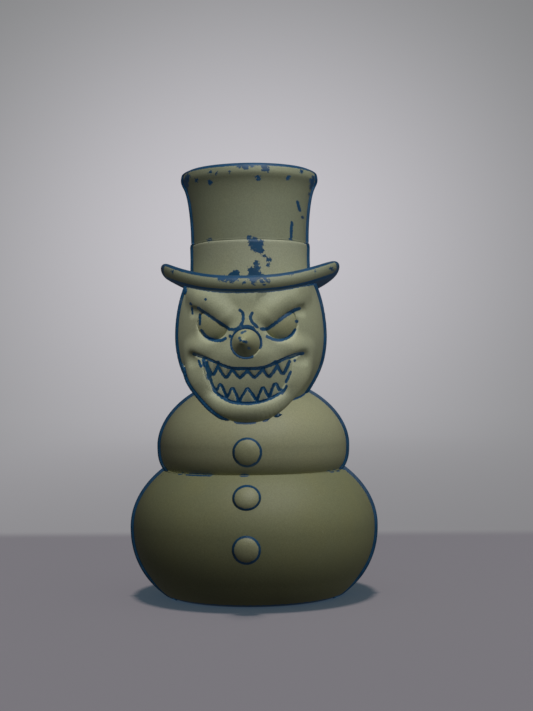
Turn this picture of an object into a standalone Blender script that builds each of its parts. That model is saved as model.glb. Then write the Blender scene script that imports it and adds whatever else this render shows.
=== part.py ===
"""Grinning snowman with a top hat, modelled at its real size in metres, +Z up, facing -Y.

Three balls (base, middle, head) sit on each other. The head rests in a bowl in the
middle ball, the hat goes over a low dome on the head, and the nose, eyes, buttons and
teeth are separate pieces pressed into the balls. Touching pieces keep a gap of 0.3 mm.

The origin is the centre of the flat foot. Lengths below are in millimetres and are
turned into metres when a mesh is made.
"""
import math

import bmesh
import bpy
import numpy as np
from mathutils import Matrix, Vector

MM = 0.001
GAP = 0.3                      # clearance between touching pieces

# ---- driving dimensions, mm -------------------------------------------------
BASE_R = 38.25                 # widest radius of the base ball
BASE_Z = 21.1                  # height of that widest ring
BASE_UP, BASE_UP_N = 25.8, 2.0
BASE_LOW, BASE_LOW_N = 29.0, 2.2
CREASE_Z = 38.2                # plane where base and middle ball meet

MID_R = 29.8
MID_Z = 46.1
MID_UP, MID_UP_N = 20.4, 1.85
MID_LOW, MID_LOW_N = 14.7, 3.04

HEAD_Y = -6.0                  # the head sits forward of the axis
HEAD_Z = 79.3
HEAD_R = 22.95
HEAD_LOW, HEAD_UP = 27.0, 32.0

HAT_Y = HEAD_Y
HAT_TOP = 129.6
CROWN_R = 17.3                 # crown at its narrowest
CROWN_SEAT_R = 16.6            # crown under the band
BAND_R = 17.9
BAND_TOP = 107.2
BRIM_R = 27.35
BRIM_EDGE = 2.45               # radius of the rolled brim edge
BRIM_PLATE = 1.7               # half the thickness of the brim's plate
BRIM_Z = 93.5                  # brim centre plane at the front
BRIM_CURL = 6.7                # how far the sides of the brim curl up
DOME_R, DOME_H, DOME_Z = 15.6, 9.5, 92.5   # dome on the head that the hat sits over

NOSE_Z = 76.5
NOSE_TIP_Y = -44.4
NOSE_ROOT_Y = -26.4

MOUTH_TOP_Z = 69.2             # upper lip at the centre line
MOUTH_RISE = 4.1               # how far the corners rise above it
MOUTH_MID_Z, MOUTH_A, MOUTH_B, MOUTH_N = 72.5, 13.0, 13.5, 2.2
MOUTH_CORNER = (15.7, 73.35)
WALL_C, WALL_R = (0.0, -10.0, 68.0), (18.5, 15.2, 17.0)   # back wall of the mouth

EYE_C = (9.7, -23.3, 82.2)
EYE_R = (5.4, 2.7, 5.0)
EYE_TURN = 22.0                # degrees that each eye turns outwards

# name, centre height, tilt of its axis above the horizon, radius, half thickness
BUTTONS = (
    ("button_top", 45.0, -2.0, 4.35, 2.5),
    ("button_middle", 32.3, 35.5, 4.15, 2.4),
    ("button_bottom", 18.0, -5.7, 4.15, 2.4),
)

STEPS = 36                     # facets around the turned pieces
HEAD_SEGMENTS, HEAD_RINGS = 52, 28

# centre x, half width, tip height, on the right side; the left side mirrors it
TOOTH_DEPTH = 1.75
UPPER_TEETH = ((2.12, 2.15, 66.2), (6.35, 2.15, 66.4), (10.35, 2.0, 67.3))
LOWER_TEETH = ((0.0, 2.9, 63.6), (4.7, 1.95, 63.8), (8.25, 1.75, 64.9))


# ---- small helpers ----------------------------------------------------------
def clear_scene():
    for obj in list(bpy.data.objects):
        bpy.data.objects.remove(obj, do_unlink=True)


def new_collection(name):
    made = bpy.data.collections.new(name)
    bpy.context.scene.collection.children.link(made)
    return made


def material(name, colour, roughness, metallic=0.0):
    mat = bpy.data.materials.new(name)
    mat.use_nodes = True
    shader = mat.node_tree.nodes["Principled BSDF"]
    shader.inputs["Base Color"].default_value = (*colour, 1.0)
    shader.inputs["Roughness"].default_value = roughness
    shader.inputs["Metallic"].default_value = metallic
    mat.diffuse_color = (*colour, 1.0)
    return mat


def face_outwards(bm):
    bmesh.ops.recalc_face_normals(bm, faces=bm.faces)
    if bm.calc_volume(signed=True) < 0:
        bmesh.ops.reverse_faces(bm, faces=bm.faces)


def object_from_bmesh(name, bm, collection, mat=None):
    face_outwards(bm)
    mesh = bpy.data.meshes.new(name)
    bm.to_mesh(mesh)
    bm.free()
    obj = bpy.data.objects.new(name, mesh)
    collection.objects.link(obj)
    if mat:
        mesh.materials.append(mat)
    return obj


def as_cutter(obj):
    obj.hide_render = True
    obj.display_type = "WIRE"
    return obj


def boolean(obj, other, operation="DIFFERENCE"):
    mod = obj.modifiers.new(operation.title() + "_" + other.name, "BOOLEAN")
    mod.object = other
    mod.operation = operation
    mod.solver = "EXACT"
    return mod


def apply_modifiers(obj):
    """Turns the evaluated object into its own plain mesh."""
    bpy.context.view_layer.update()
    graph = bpy.context.evaluated_depsgraph_get()
    mesh = bpy.data.meshes.new_from_object(obj.evaluated_get(graph))
    old = obj.data
    obj.modifiers.clear()
    obj.data = mesh
    if not old.users:
        (bpy.data.meshes if isinstance(old, bpy.types.Mesh) else bpy.data.curves).remove(old)
    return obj


def shade(obj, angle=35.0):
    obj.data.shade_smooth()
    obj.data.set_sharp_from_angle(angle=math.radians(angle))


def turned(name, profile, steps, collection, mat=None):
    """A turned solid: profile is [(radius, height)] in mm, from the top down the outside."""
    bm = bmesh.new()
    verts = [bm.verts.new((r * MM, 0.0, z * MM)) for r, z in profile]
    for a, b in zip(verts, verts[1:]):
        bm.edges.new((a, b))
    mesh = bpy.data.meshes.new(name)
    bm.to_mesh(mesh)
    bm.free()
    obj = bpy.data.objects.new(name, mesh)
    collection.objects.link(obj)
    screw = obj.modifiers.new("Screw", "SCREW")
    screw.axis = "Z"
    screw.steps = screw.render_steps = steps
    screw.use_merge_vertices = True
    screw.merge_threshold = 1e-6
    screw.use_normal_calculate = True
    apply_modifiers(obj)
    bm = bmesh.new()
    bm.from_mesh(obj.data)
    bmesh.ops.remove_doubles(bm, verts=bm.verts, dist=1e-7)
    face_outwards(bm)
    bm.to_mesh(obj.data)
    bm.free()
    if mat:
        obj.data.materials.append(mat)
    return obj


def ellipsoid(name, centre, radii, collection, mat=None, segments=16, rings=10, turn=None, grow=0.0):
    bm = bmesh.new()
    bmesh.ops.create_uvsphere(bm, u_segments=segments, v_segments=rings, radius=1.0)
    scale = Matrix.Diagonal(((radii[0] + grow) * MM, (radii[1] + grow) * MM, (radii[2] + grow) * MM, 1.0))
    bmesh.ops.transform(bm, matrix=scale, verts=bm.verts)
    obj = object_from_bmesh(name, bm, collection, mat)
    obj.location = Vector(centre) * MM
    if turn is not None:
        obj.rotation_euler = turn
    return obj


# ---- the balls' outlines ------------------------------------------------------
def ball_radius(z, r, centre, up, up_n, low, low_n):
    d = z - centre
    share = (d / up) ** up_n if d >= 0 else (-d / low) ** low_n
    return r * math.sqrt(max(0.0, 1.0 - share))


def base_radius(z):
    return ball_radius(z, BASE_R, BASE_Z, BASE_UP, BASE_UP_N, BASE_LOW, BASE_LOW_N)


def middle_radius(z):
    return ball_radius(z, MID_R, MID_Z, MID_UP, MID_UP_N, MID_LOW, MID_LOW_N)


# ---- the head's form ------------------------------------------------------------
# Each form is a signed distance in mm, negative inside, evaluated on arrays of points.
def sd_ellipsoid(p, centre, radii):
    q = (p - np.asarray(centre)) / np.asarray(radii)
    k0 = np.linalg.norm(q, axis=-1)
    k1 = np.linalg.norm(q / np.asarray(radii), axis=-1)
    return k0 * (k0 - 1.0) / np.maximum(k1, 1e-9)


def sd_turned_ellipsoid(p, centre, radii, degrees):
    a = math.radians(degrees)
    c, s = math.cos(a), math.sin(a)
    d = p - np.asarray(centre)
    q = np.stack((c * d[..., 0] + s * d[..., 1], -s * d[..., 0] + c * d[..., 1], d[..., 2]), axis=-1)
    return sd_ellipsoid(q, (0.0, 0.0, 0.0), radii)


def sd_path(p, points, radii):
    """A tube through points whose radius changes from point to point."""
    best = np.full(p.shape[:-1], 1e9)
    for a, b, ra, rb in zip(points, points[1:], radii, radii[1:]):
        a, b = np.asarray(a), np.asarray(b)
        ab = b - a
        t = np.clip(((p - a) @ ab) / (ab @ ab), 0.0, 1.0)
        d = np.linalg.norm(p - a - t[..., None] * ab, axis=-1) - (ra + (rb - ra) * t)
        best = np.minimum(best, d)
    return best


def smooth_union(a, b, k):
    h = np.clip(0.5 + 0.5 * (b - a) / k, 0.0, 1.0)
    return b * (1 - h) + a * h - k * h * (1 - h)


def smooth_cut(a, b, k):
    """a without b."""
    return -smooth_union(-a, b, k)


def mirrored(p):
    """Points folded onto the right side, because the face is the same on both sides."""
    q = p.copy()
    q[..., 0] = np.abs(q[..., 0])
    return q


def egg_front(x, z):
    """y of the plain egg's front at x, z."""
    b = HEAD_UP if z > HEAD_Z else HEAD_LOW
    share = 1.0 - (x / HEAD_R) ** 2 - ((z - HEAD_Z) / b) ** 2
    return HEAD_Y - HEAD_R * math.sqrt(max(share, 0.0))


def lip_path():
    """Centre line of the lower lip's roll on the right side, from the chin up to the cheek."""
    points, radii = [], []
    for i in range(13):
        t = math.radians(-90.0 + 94.0 * i / 12)
        c, s = abs(math.cos(t)), math.sin(t)
        x = (MOUTH_A + 3.0) * c ** (2 / MOUTH_N)
        z = MOUTH_MID_Z + math.copysign((MOUTH_B + 2.5) * abs(s) ** (2 / MOUTH_N), s)
        u = i / 12
        points.append((x, -25.7 + 8.4 * u ** 1.5, z))
        radii.append(3.9 - 1.3 * math.sin(math.pi * min(u / 0.9, 1.0)) ** 2 * (u > 0.0) + 0.3 * u)
    return points, radii


def brow_path():
    """Centre line of a brow: a rounded lobe beside the bridge of the nose, rising to the temple."""
    return ((5.5, -24.7, 84.9), (7.6, -24.0, 87.3), (11.4, -22.6, 89.6), (15.2, -19.6, 91.0)), (4.4, 4.6, 4.0, 2.6)


def smile_groove():
    return [(x, egg_front(x, z) - 0.5, z) for x, z in ((12.0, 72.3), (14.6, 73.2), (16.9, 73.9))], (0.4, 1.1, 1.3)


def brow_groove():
    return [(x, egg_front(x, z) - 0.2, z) for x, z in ((13.0, 85.6), (15.2, 86.9), (17.2, 87.9))], (0.5, 0.9, 1.0)


def head_form(p):
    """The head as one smooth body: egg, jaw, cheeks, lip roll, eye hollows and brows."""
    q = mirrored(p)
    up = (p[..., 2] > HEAD_Z)[..., None]
    radii = np.where(up, (HEAD_R, HEAD_R, HEAD_UP), (HEAD_R, HEAD_R, HEAD_LOW))
    rel = p - np.asarray((0.0, HEAD_Y, HEAD_Z))
    k0 = np.linalg.norm(rel / radii, axis=-1)
    k1 = np.linalg.norm(rel / radii ** 2, axis=-1)
    form = k0 * (k0 - 1.0) / np.maximum(k1, 1e-9)
    form = smooth_union(form, sd_ellipsoid(p, (0.0, -12.0, 69.5), (17.2, 16.0, 14.4)), 5.0)
    form = smooth_union(form, sd_ellipsoid(p, (0.0, -20.6, 73.4), (11.0, 8.5, 5.2)), 2.5)
    form = smooth_union(form, sd_ellipsoid(q, (11.2, -18.9, 75.2), (7.0, 7.4, 4.4)), 2.5)
    form = smooth_union(form, sd_path(q, *lip_path()), 1.6)
    hollow = sd_turned_ellipsoid(q, (EYE_C[0], EYE_C[1] - 2.4, EYE_C[2]), (4.9, 4.8, 4.7), EYE_TURN)
    form = smooth_cut(form, hollow, 0.8)
    other = p * np.array((-1.0, 1.0, 1.0))
    brows = smooth_union(sd_path(p, *brow_path()), sd_path(other, *brow_path()), 0.7)
    form = smooth_union(form, sd_ellipsoid(p, (0.0, -18.8, 91.0), (13.0, 8.9, 7.0)), 3.0)
    form = smooth_union(form, brows, 1.2)
    form = smooth_cut(form, sd_path(q, *smile_groove()), 2.0)
    form = smooth_cut(form, sd_path(q, *brow_groove()), 1.6)
    return form


def sculpted_sphere(name, form, level, segments, rings, centre, collection, mat=None):
    """A UV sphere whose vertices are moved along their own rays to the outermost place where form is level.
    Its poles face front and back, and its rings crowd towards the front, where the face is."""
    bm = bmesh.new()
    bmesh.ops.create_uvsphere(bm, u_segments=segments, v_segments=rings, radius=1.0)
    verts = list(bm.verts)
    d = np.array([v.co for v in verts])
    polar = np.arccos(np.clip(d[:, 2], -1, 1))            # 0 at the front pole
    around = np.arctan2(d[:, 1], d[:, 0])
    u = polar / math.pi
    polar = np.radians(105.0 * u + 75.0 * u ** 4)
    rays = np.stack((np.sin(polar) * np.cos(around), -np.cos(polar), np.sin(polar) * np.sin(around)), axis=-1)
    steps = np.linspace(50.0, 8.0, 253)
    found = np.full(len(rays), 8.0)
    open_ = np.ones(len(rays), bool)
    for far, near in zip(steps, steps[1:]):
        inside = form(np.asarray(centre) + rays * near) < level
        hit = open_ & inside
        if hit.any():
            lo, hi = np.full(hit.sum(), near), np.full(hit.sum(), far)
            for _ in range(24):
                mid = (lo + hi) / 2
                within = form(np.asarray(centre) + rays[hit] * mid[:, None]) < level
                lo, hi = np.where(within, mid, lo), np.where(within, hi, mid)
            found[hit] = lo
            open_[hit] = False
        if not open_.any():
            break
    placed = (np.asarray(centre) + rays * found[:, None]) * MM
    for v, co in zip(verts, placed):
        v.co = co
    return object_from_bmesh(name, bm, collection, mat)


# ---- the mouth -------------------------------------------------------------------
def lip_height(x, drop=0.0):
    s = min(max((abs(x) - 2.5) / 13.5, 0.0), 1.0)
    return MOUTH_TOP_Z + MOUTH_RISE * s * s * (3 - 2 * s) - drop


def mouth_outline(inset=0.0, n=9):
    """The mouth as seen from the front: the upper lip's curve and the round lower edge."""
    a, b = MOUTH_A - inset, MOUTH_B - inset
    points = []
    if not inset:
        points.append(MOUTH_CORNER)
    for i in range(2 * n + 1):
        t = math.pi * i / (2 * n)
        c, s = math.cos(t), math.sin(t)
        x = math.copysign(a * abs(c) ** (2 / MOUTH_N), c)
        z = MOUTH_MID_Z - 0.9 - (b - 0.9) * s ** (2 / MOUTH_N)
        points.append((x, z))
    if not inset:
        points.append((-MOUTH_CORNER[0], MOUTH_CORNER[1]))
    for i in range(1, 2 * n):
        x = (-1 + i / n) * (MOUTH_A - 0.2)
        points.append((x, lip_height(x, inset)))
    return points


def prism(name, outline, y0, y1, collection):
    """A flat outline in X and Z, extruded along Y: a 2D curve turned into a mesh."""
    curve = bpy.data.curves.new(name, "CURVE")
    curve.dimensions = "2D"
    curve.fill_mode = "BOTH"
    curve.extrude = abs(y1 - y0) / 2 * MM
    spline = curve.splines.new("POLY")
    spline.points.add(len(outline) - 1)
    for point, (x, z) in zip(spline.points, outline):
        point.co = (x * MM, z * MM, 0.0, 1.0)
    spline.use_cyclic_u = True
    flat = bpy.data.objects.new(name + "_curve", curve)
    collection.objects.link(flat)
    flat.rotation_euler = (math.radians(90), 0, 0)
    flat.location = (0, (y0 + y1) / 2 * MM, 0)
    bpy.context.view_layer.update()
    graph = bpy.context.evaluated_depsgraph_get()
    mesh = bpy.data.meshes.new_from_object(flat.evaluated_get(graph))
    bm = bmesh.new()
    bm.from_mesh(mesh)
    bmesh.ops.remove_doubles(bm, verts=bm.verts, dist=1e-6)
    face_outwards(bm)
    bm.to_mesh(mesh)
    bm.free()
    obj = bpy.data.objects.new(name, mesh)
    obj.matrix_world = flat.matrix_world.copy()
    collection.objects.link(obj)
    bpy.data.objects.remove(flat)
    return obj


def wall_y(x, z):
    """y of the mouth's back wall at x, z."""
    share = 1 - ((x - WALL_C[0]) / WALL_R[0]) ** 2 - ((z - WALL_C[2]) / WALL_R[2]) ** 2
    return WALL_C[1] - WALL_R[1] * math.sqrt(max(share, 0.0))


def tooth(name, x, half, root_z, tip_z, cavity, wall, parts, cutters, mat):
    """A flattened cone whose root meets the lip and whose back lies along the mouth's wall."""
    up = 1 if root_z > tip_z else -1
    length = abs(root_z - tip_z)
    middle = (root_z + tip_z) / 2
    bm = bmesh.new()
    bmesh.ops.create_cone(bm, cap_ends=True, segments=10, radius1=1.0, radius2=0.2, depth=1.0)
    flip = Matrix.Rotation(math.pi, 4, "X") if up > 0 else Matrix.Identity(4)
    size = Matrix.Diagonal((half * MM, TOOTH_DEPTH * MM, length * MM, 1.0))
    bmesh.ops.transform(bm, matrix=size @ flip, verts=bm.verts)
    obj = object_from_bmesh(name, bm, parts, mat)
    y_root, y_tip = wall_y(x, root_z), wall_y(x, tip_z)
    turn = -math.degrees(math.asin(max(-0.9, min(0.9, x / 18.5 * 0.85))))
    obj.location = Vector((x, (y_root + y_tip) / 2, middle)) * MM
    lean = math.atan((y_tip - y_root) / (tip_z - root_z))
    obj.rotation_euler = (-lean, 0, math.radians(-turn))
    obj.rotation_mode = "XYZ"
    boolean(obj, cavity, "INTERSECT")
    boolean(obj, wall, "DIFFERENCE")
    return apply_modifiers(obj)


# ---- the hat -------------------------------------------------------------------------
def curl(x, y, z):
    """How far a point of the hat is lifted: the brim curls up at both sides and the crown stays level."""
    rho = math.hypot(x, y)
    if rho < 1e-6:
        return 0.0
    side = abs(x / rho) ** 2.4
    fade = min(max((103.0 - z) / 6.0, 0.0), 1.0)
    fade = fade * fade * (3 - 2 * fade)
    return BRIM_CURL * side * min(rho / BRIM_R, 1.05) ** 2 * fade


def hat_profile(grow=0.0):
    """The hat's outline from the centre of its top, down the outside, to the centre of its underside."""
    edge_x = BRIM_R - BRIM_EDGE
    points = [(0.0, HAT_TOP), (18.2, HAT_TOP), (20.0, 128.8), (20.9, 127.5), (20.9, 125.9),
              (20.0, 123.9), (18.9, 120.6), (18.1, 116.4), (17.5, 112.0),
              (CROWN_R, BAND_TOP + 0.4), (CROWN_SEAT_R, BAND_TOP + 0.4), (CROWN_SEAT_R, 102.0), (CROWN_SEAT_R, BRIM_Z + BRIM_PLATE + 0.3),
              (18.6, BRIM_Z + BRIM_PLATE), (22.2, BRIM_Z + BRIM_PLATE + 0.15)]
    for i in range(7):
        t = math.radians(90 - 30.0 * i)
        points.append((edge_x + BRIM_EDGE * math.cos(t), BRIM_Z + BRIM_EDGE * math.sin(t)))
    points += [(22.0, BRIM_Z - BRIM_PLATE - 0.2), (17.0, BRIM_Z - BRIM_PLATE), (0.0, BRIM_Z - BRIM_PLATE)]
    return points


def bend_brim(obj):
    for v in obj.data.vertices:
        v.co.z += curl(v.co.x / MM, v.co.y / MM, v.co.z / MM) * MM
    for v in obj.data.vertices:
        v.co.y += HAT_Y * MM


# ---- build -------------------------------------------------------------------------------
def build():
    clear_scene()
    parts = new_collection("snowman")
    cutters = new_collection("cutters")

    body = material("body_olive", (0.205, 0.200, 0.125), 0.55)
    hat_mat = material("hat_olive", (0.195, 0.190, 0.120), 0.60)
    band_mat = material("band_olive", (0.235, 0.230, 0.150), 0.60)
    trim = material("trim_olive", (0.215, 0.210, 0.130), 0.45)
    teeth_mat = material("teeth_olive", (0.250, 0.245, 0.165), 0.45)

    # base ball
    top = CREASE_Z - GAP / 2
    heights = [top, 35.8, 32.6, 28.8, 24.8, 20.6, 15.8, 11.0, 6.4, 2.4]
    profile = [(0.0, top)] + [(base_radius(z), z) for z in heights] + [(base_radius(0.0) - 0.3, 0.0), (0.0, 0.0)]
    base = turned("base_ball", profile, STEPS, parts, body)

    # middle ball
    low = CREASE_Z + GAP / 2
    heights = [65.6, 62.8, 59.8, 56.4, 52.8, 49.2, 45.6, 42.4, 40.0]
    profile = [(0.0, MID_Z + MID_UP)] + [(middle_radius(z), z) for z in heights] + [(middle_radius(low), low), (0.0, low)]
    middle = turned("middle_ball", profile, STEPS, parts, body)

    # head
    centre = (0.0, -7.5, 76.0)
    head = sculpted_sphere("head", head_form, 0.0, HEAD_SEGMENTS, HEAD_RINGS, centre, parts, body)
    seat = as_cutter(sculpted_sphere("cut_head_seat", head_form, GAP + 0.08, HEAD_SEGMENTS, HEAD_RINGS, centre, cutters))
    boolean(middle, seat)

    # mouth: a prism that stops at the mouth's curved back wall
    mouth = prism("cut_mouth", mouth_outline(), -40.0, -8.0, cutters)
    wall = ellipsoid("cut_mouth_wall", WALL_C, WALL_R, cutters, segments=20, rings=14)
    boolean(mouth, wall)
    as_cutter(apply_modifiers(mouth))
    as_cutter(wall)
    boolean(head, mouth)

    # nose and its socket
    nose_profile = [(0.0, -NOSE_TIP_Y), (0.5, -NOSE_TIP_Y - 0.15), (0.9, -NOSE_TIP_Y - 0.7), (2.2, 39.0), (3.3, 34.6),
                    (3.9, 31.4), (4.1, 29.2), (3.9, 27.6), (3.4, -NOSE_ROOT_Y), (0.0, -NOSE_ROOT_Y)]
    for name, grow, where, mat in (("nose", 0.0, parts, trim), ("cut_nose", GAP, cutters, None)):
        outline = [(r + grow if r else 0.0, h + (grow if h > 40 else -grow if h < 27 else 0.0)) for r, h in nose_profile]
        made = turned(name, outline, 16, where, mat)
        made.data.transform(Matrix.Translation((0, 0, NOSE_Z * MM)) @ Matrix.Rotation(math.radians(90), 4, "X"))
        if grow:
            as_cutter(made)
            boolean(head, made)

    # eyes and their sockets
    for side, name in ((1, "left"), (-1, "right")):
        turn = (0, 0, math.radians(EYE_TURN) * side)
        where = (EYE_C[0] * side, EYE_C[1], EYE_C[2])
        ellipsoid("eye_" + name, where, EYE_R, parts, trim, 14, 8, turn)
        boolean(head, as_cutter(ellipsoid("cut_eye_" + name, where, EYE_R, cutters, None, 14, 8, turn, GAP)))

    # buttons, each pressed half way into its ball
    for name, z, tilt, radius, half in BUTTONS:
        ball, r = (middle, middle_radius(z)) if z > CREASE_Z else (base, base_radius(z))
        turn = (math.radians(-tilt), 0, 0)
        size = (radius, half, radius)
        ellipsoid(name, (0, -r + 0.2, z), size, parts, trim, 14, 7, turn)
        boolean(ball, as_cutter(ellipsoid("cut_" + name, (0, -r + 0.2, z), size, cutters, None, 14, 7, turn, GAP)))

    # teeth, inside the mouth and clear of it on every side
    cavity = as_cutter(prism("cut_cavity", mouth_outline(GAP), -36.0, -6.0, cutters))
    near_wall = as_cutter(ellipsoid("cut_tooth_wall", WALL_C, WALL_R, cutters, None, 20, 14, None, GAP + 0.06))
    rows = []
    for x, half, tip in UPPER_TEETH:
        rows += [("upper", s * x, half, lip_height(x) + 0.2, tip) for s in (-1, 1)]
    for x, half, tip in LOWER_TEETH:
        t = min(x / MOUTH_A, 0.99)
        foot = MOUTH_MID_Z - MOUTH_B * (1 - t ** MOUTH_N) ** (1 / MOUTH_N) - 0.3
        rows += [("lower", s * x, half, foot, tip) for s in ((-1, 1) if x else (1,))]
    counts = {"upper": 0, "lower": 0}
    for row, x, half, root, tip in sorted(rows):
        counts[row] += 1
        tooth(f"tooth_{row}_{counts[row]}", x, half, root, tip, cavity, near_wall, parts, cutters, teeth_mat)

    # hat, its band and the dome that it sits over
    hat = turned("hat", hat_profile(), STEPS, parts, hat_mat)
    bend_brim(hat)
    boolean(hat, as_cutter(ellipsoid("cut_dome", (0, HEAD_Y, DOME_Z), (DOME_R, DOME_R, DOME_H), cutters, None, 20, 10, None, GAP)))
    shoulder = BRIM_Z - BRIM_PLATE - GAP
    above = turned("cut_shoulder", [(0, 118.0), (25.5, 118.0), (25.5, shoulder - 0.45), (22.0, shoulder - 0.2), (17.0, shoulder), (0, shoulder)], STEPS, cutters)
    for v in above.data.vertices:
        if v.co.z < 0.1:
            v.co.z += curl(v.co.x / MM, v.co.y / MM, v.co.z / MM) * MM
        v.co.y += HAT_Y * MM
    boolean(above, as_cutter(ellipsoid("keep_dome", (0, HEAD_Y, DOME_Z), (DOME_R, DOME_R, DOME_H), cutters, None, 20, 10)))
    as_cutter(apply_modifiers(above))
    boolean(head, above)

    foot = BRIM_Z + BRIM_PLATE + 0.3 + GAP
    band_profile = [(CROWN_SEAT_R + GAP, BAND_TOP), (17.45, BAND_TOP), (BAND_R, BAND_TOP - 0.55), (BAND_R, 102.0), (BAND_R, foot),
                    (CROWN_SEAT_R + GAP, foot), (CROWN_SEAT_R + GAP, 102.0), (CROWN_SEAT_R + GAP, BAND_TOP)]
    band = turned("hat_band", band_profile, STEPS, parts, band_mat)
    bend_brim(band)

    for obj in parts.objects:
        shade(obj)
    for obj in cutters.objects:
        as_cutter(obj)


build()
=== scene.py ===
import math

import bpy
import numpy as np
from mathutils import Matrix, Vector


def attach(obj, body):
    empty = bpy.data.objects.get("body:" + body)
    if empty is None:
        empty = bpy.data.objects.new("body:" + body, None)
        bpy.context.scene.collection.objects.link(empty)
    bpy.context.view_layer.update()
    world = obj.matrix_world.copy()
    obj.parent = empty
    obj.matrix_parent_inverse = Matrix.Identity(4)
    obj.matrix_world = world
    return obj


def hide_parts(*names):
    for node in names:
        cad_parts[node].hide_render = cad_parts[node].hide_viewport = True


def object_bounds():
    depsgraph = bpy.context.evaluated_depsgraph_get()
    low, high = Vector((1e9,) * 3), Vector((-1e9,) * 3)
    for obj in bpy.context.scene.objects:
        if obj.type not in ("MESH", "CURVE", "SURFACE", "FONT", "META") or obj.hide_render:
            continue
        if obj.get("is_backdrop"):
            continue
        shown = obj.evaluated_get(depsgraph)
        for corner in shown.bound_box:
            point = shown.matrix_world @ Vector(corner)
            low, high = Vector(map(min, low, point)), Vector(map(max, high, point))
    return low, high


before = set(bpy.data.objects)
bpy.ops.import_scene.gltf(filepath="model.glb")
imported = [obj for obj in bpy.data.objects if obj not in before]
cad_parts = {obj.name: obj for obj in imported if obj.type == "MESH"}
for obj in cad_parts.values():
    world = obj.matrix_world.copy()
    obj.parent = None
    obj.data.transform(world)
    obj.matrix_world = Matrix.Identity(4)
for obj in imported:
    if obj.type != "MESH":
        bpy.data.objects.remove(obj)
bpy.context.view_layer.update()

MM = 0.001
scene = bpy.context.scene

# ---------------------------------------------------------------- dimensions, mm (as in the CAD)
BASE_R, BASE_Z, BASE_UP, BASE_UP_N, BASE_LOW, BASE_LOW_N = 38.25, 21.1, 25.8, 2.0, 29.0, 2.2
CREASE_Z = 38.2
MID_R, MID_Z, MID_UP, MID_UP_N, MID_LOW, MID_LOW_N = 29.8, 46.1, 20.4, 1.85, 14.7, 3.04
HEAD_Y, HEAD_Z, HEAD_R, HEAD_LOW, HEAD_UP = -6.0, 79.3, 22.95, 27.0, 32.0
HAT_Y, HAT_TOP, CROWN_R, BAND_R, BAND_TOP = -6.0, 129.6, 17.3, 17.9, 107.2
BRIM_R, BRIM_EDGE, BRIM_PLATE, BRIM_Z, BRIM_CURL = 27.35, 2.45, 1.7, 93.5, 6.7
NOSE_Z, NOSE_TIP_Y, NOSE_ROOT_Y = 76.5, -44.4, -26.4
MOUTH_TOP_Z, MOUTH_RISE = 69.2, 4.1
MOUTH_MID_Z, MOUTH_A, MOUTH_B, MOUTH_N = 72.5, 13.0, 13.5, 2.2
MOUTH_CORNER = (15.7, 73.35)
WALL_C, WALL_R = (0.0, -10.0, 68.0), (18.5, 15.2, 17.0)
EYE_C, EYE_R, EYE_TURN = (9.7, -23.3, 82.2), (5.4, 2.7, 5.0), 22.0
BUTTONS = (("button_top", 45.0, -2.0, 4.35, 2.5), ("button_middle", 32.3, 35.5, 4.15, 2.4), ("button_bottom", 18.0, -5.7, 4.15, 2.4))
UPPER_TEETH = ((2.1, 2.15, 66.7), (6.3, 2.1, 66.8), (10.25, 2.0, 67.7))
LOWER_TEETH = ((0.0, 2.8, 63.25), (4.5, 1.95, 63.45), (8.1, 1.75, 64.6))


# the photograph's viewpoint: 3.5 degrees to the figure's left, 404 mm out, 66 mm up
AZIMUTH, DISTANCE, HEIGHT = math.radians(3.5), 404.4, 65.8
EYE = np.array((DISTANCE * math.sin(AZIMUTH), -DISTANCE * math.cos(AZIMUTH), HEIGHT))
SEAM_W, SEAM_H = 0.55, 0.95        # the painted bead down each side: half width and height, mm
SLIM = 1.02                        # how far the balls are drawn in, so that the bead stays inside the CAD box
deg = math.radians



def seen(p):
    """Points as the photograph's viewpoint lays them out, in mm on the upright plane through the axis."""
    rel = np.asarray(p, float) - EYE
    along = -math.sin(AZIMUTH) * rel[..., 0] + math.cos(AZIMUTH) * rel[..., 1]
    across = math.cos(AZIMUTH) * rel[..., 0] + math.sin(AZIMUTH) * rel[..., 1]
    return np.stack((across / along * DISTANCE, HEIGHT + rel[..., 2] / along * DISTANCE), axis=-1)


# ---------------------------------------------------------------- outlines of the balls
def ball_radius(z, r, centre, up, up_n, low, low_n):
    d = np.asarray(z, float) - centre
    share = np.where(d >= 0, np.abs(d / up) ** up_n, np.abs(d / low) ** low_n)
    return r * np.sqrt(np.maximum(0.0, 1.0 - share))


def base_radius(z):
    return ball_radius(z, BASE_R, BASE_Z, BASE_UP, BASE_UP_N, BASE_LOW, BASE_LOW_N)


def middle_radius(z):
    return ball_radius(z, MID_R, MID_Z, MID_UP, MID_UP_N, MID_LOW, MID_LOW_N)


# ---------------------------------------------------------------- distance functions, mm, negative inside
def sd_ellipsoid(p, centre, radii):
    q = (p - np.asarray(centre)) / np.asarray(radii)
    k0 = np.linalg.norm(q, axis=-1)
    k1 = np.linalg.norm(q / np.asarray(radii), axis=-1)
    return k0 * (k0 - 1.0) / np.maximum(k1, 1e-9)


def sd_turned_ellipsoid(p, centre, radii, degrees):
    a = math.radians(degrees)
    c, s = math.cos(a), math.sin(a)
    d = p - np.asarray(centre)
    q = np.stack((c * d[..., 0] + s * d[..., 1], -s * d[..., 0] + c * d[..., 1], d[..., 2]), axis=-1)
    return sd_ellipsoid(q, (0.0, 0.0, 0.0), radii)


def sd_path(p, points, radii):
    best = np.full(p.shape[:-1], 1e9)
    for a, b, ra, rb in zip(points, points[1:], radii, radii[1:]):
        a, b = np.asarray(a, float), np.asarray(b, float)
        ab = b - a
        t = np.clip(((p - a) @ ab) / (ab @ ab), 0.0, 1.0)
        best = np.minimum(best, np.linalg.norm(p - a - t[..., None] * ab, axis=-1) - (ra + (rb - ra) * t))
    return best


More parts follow.
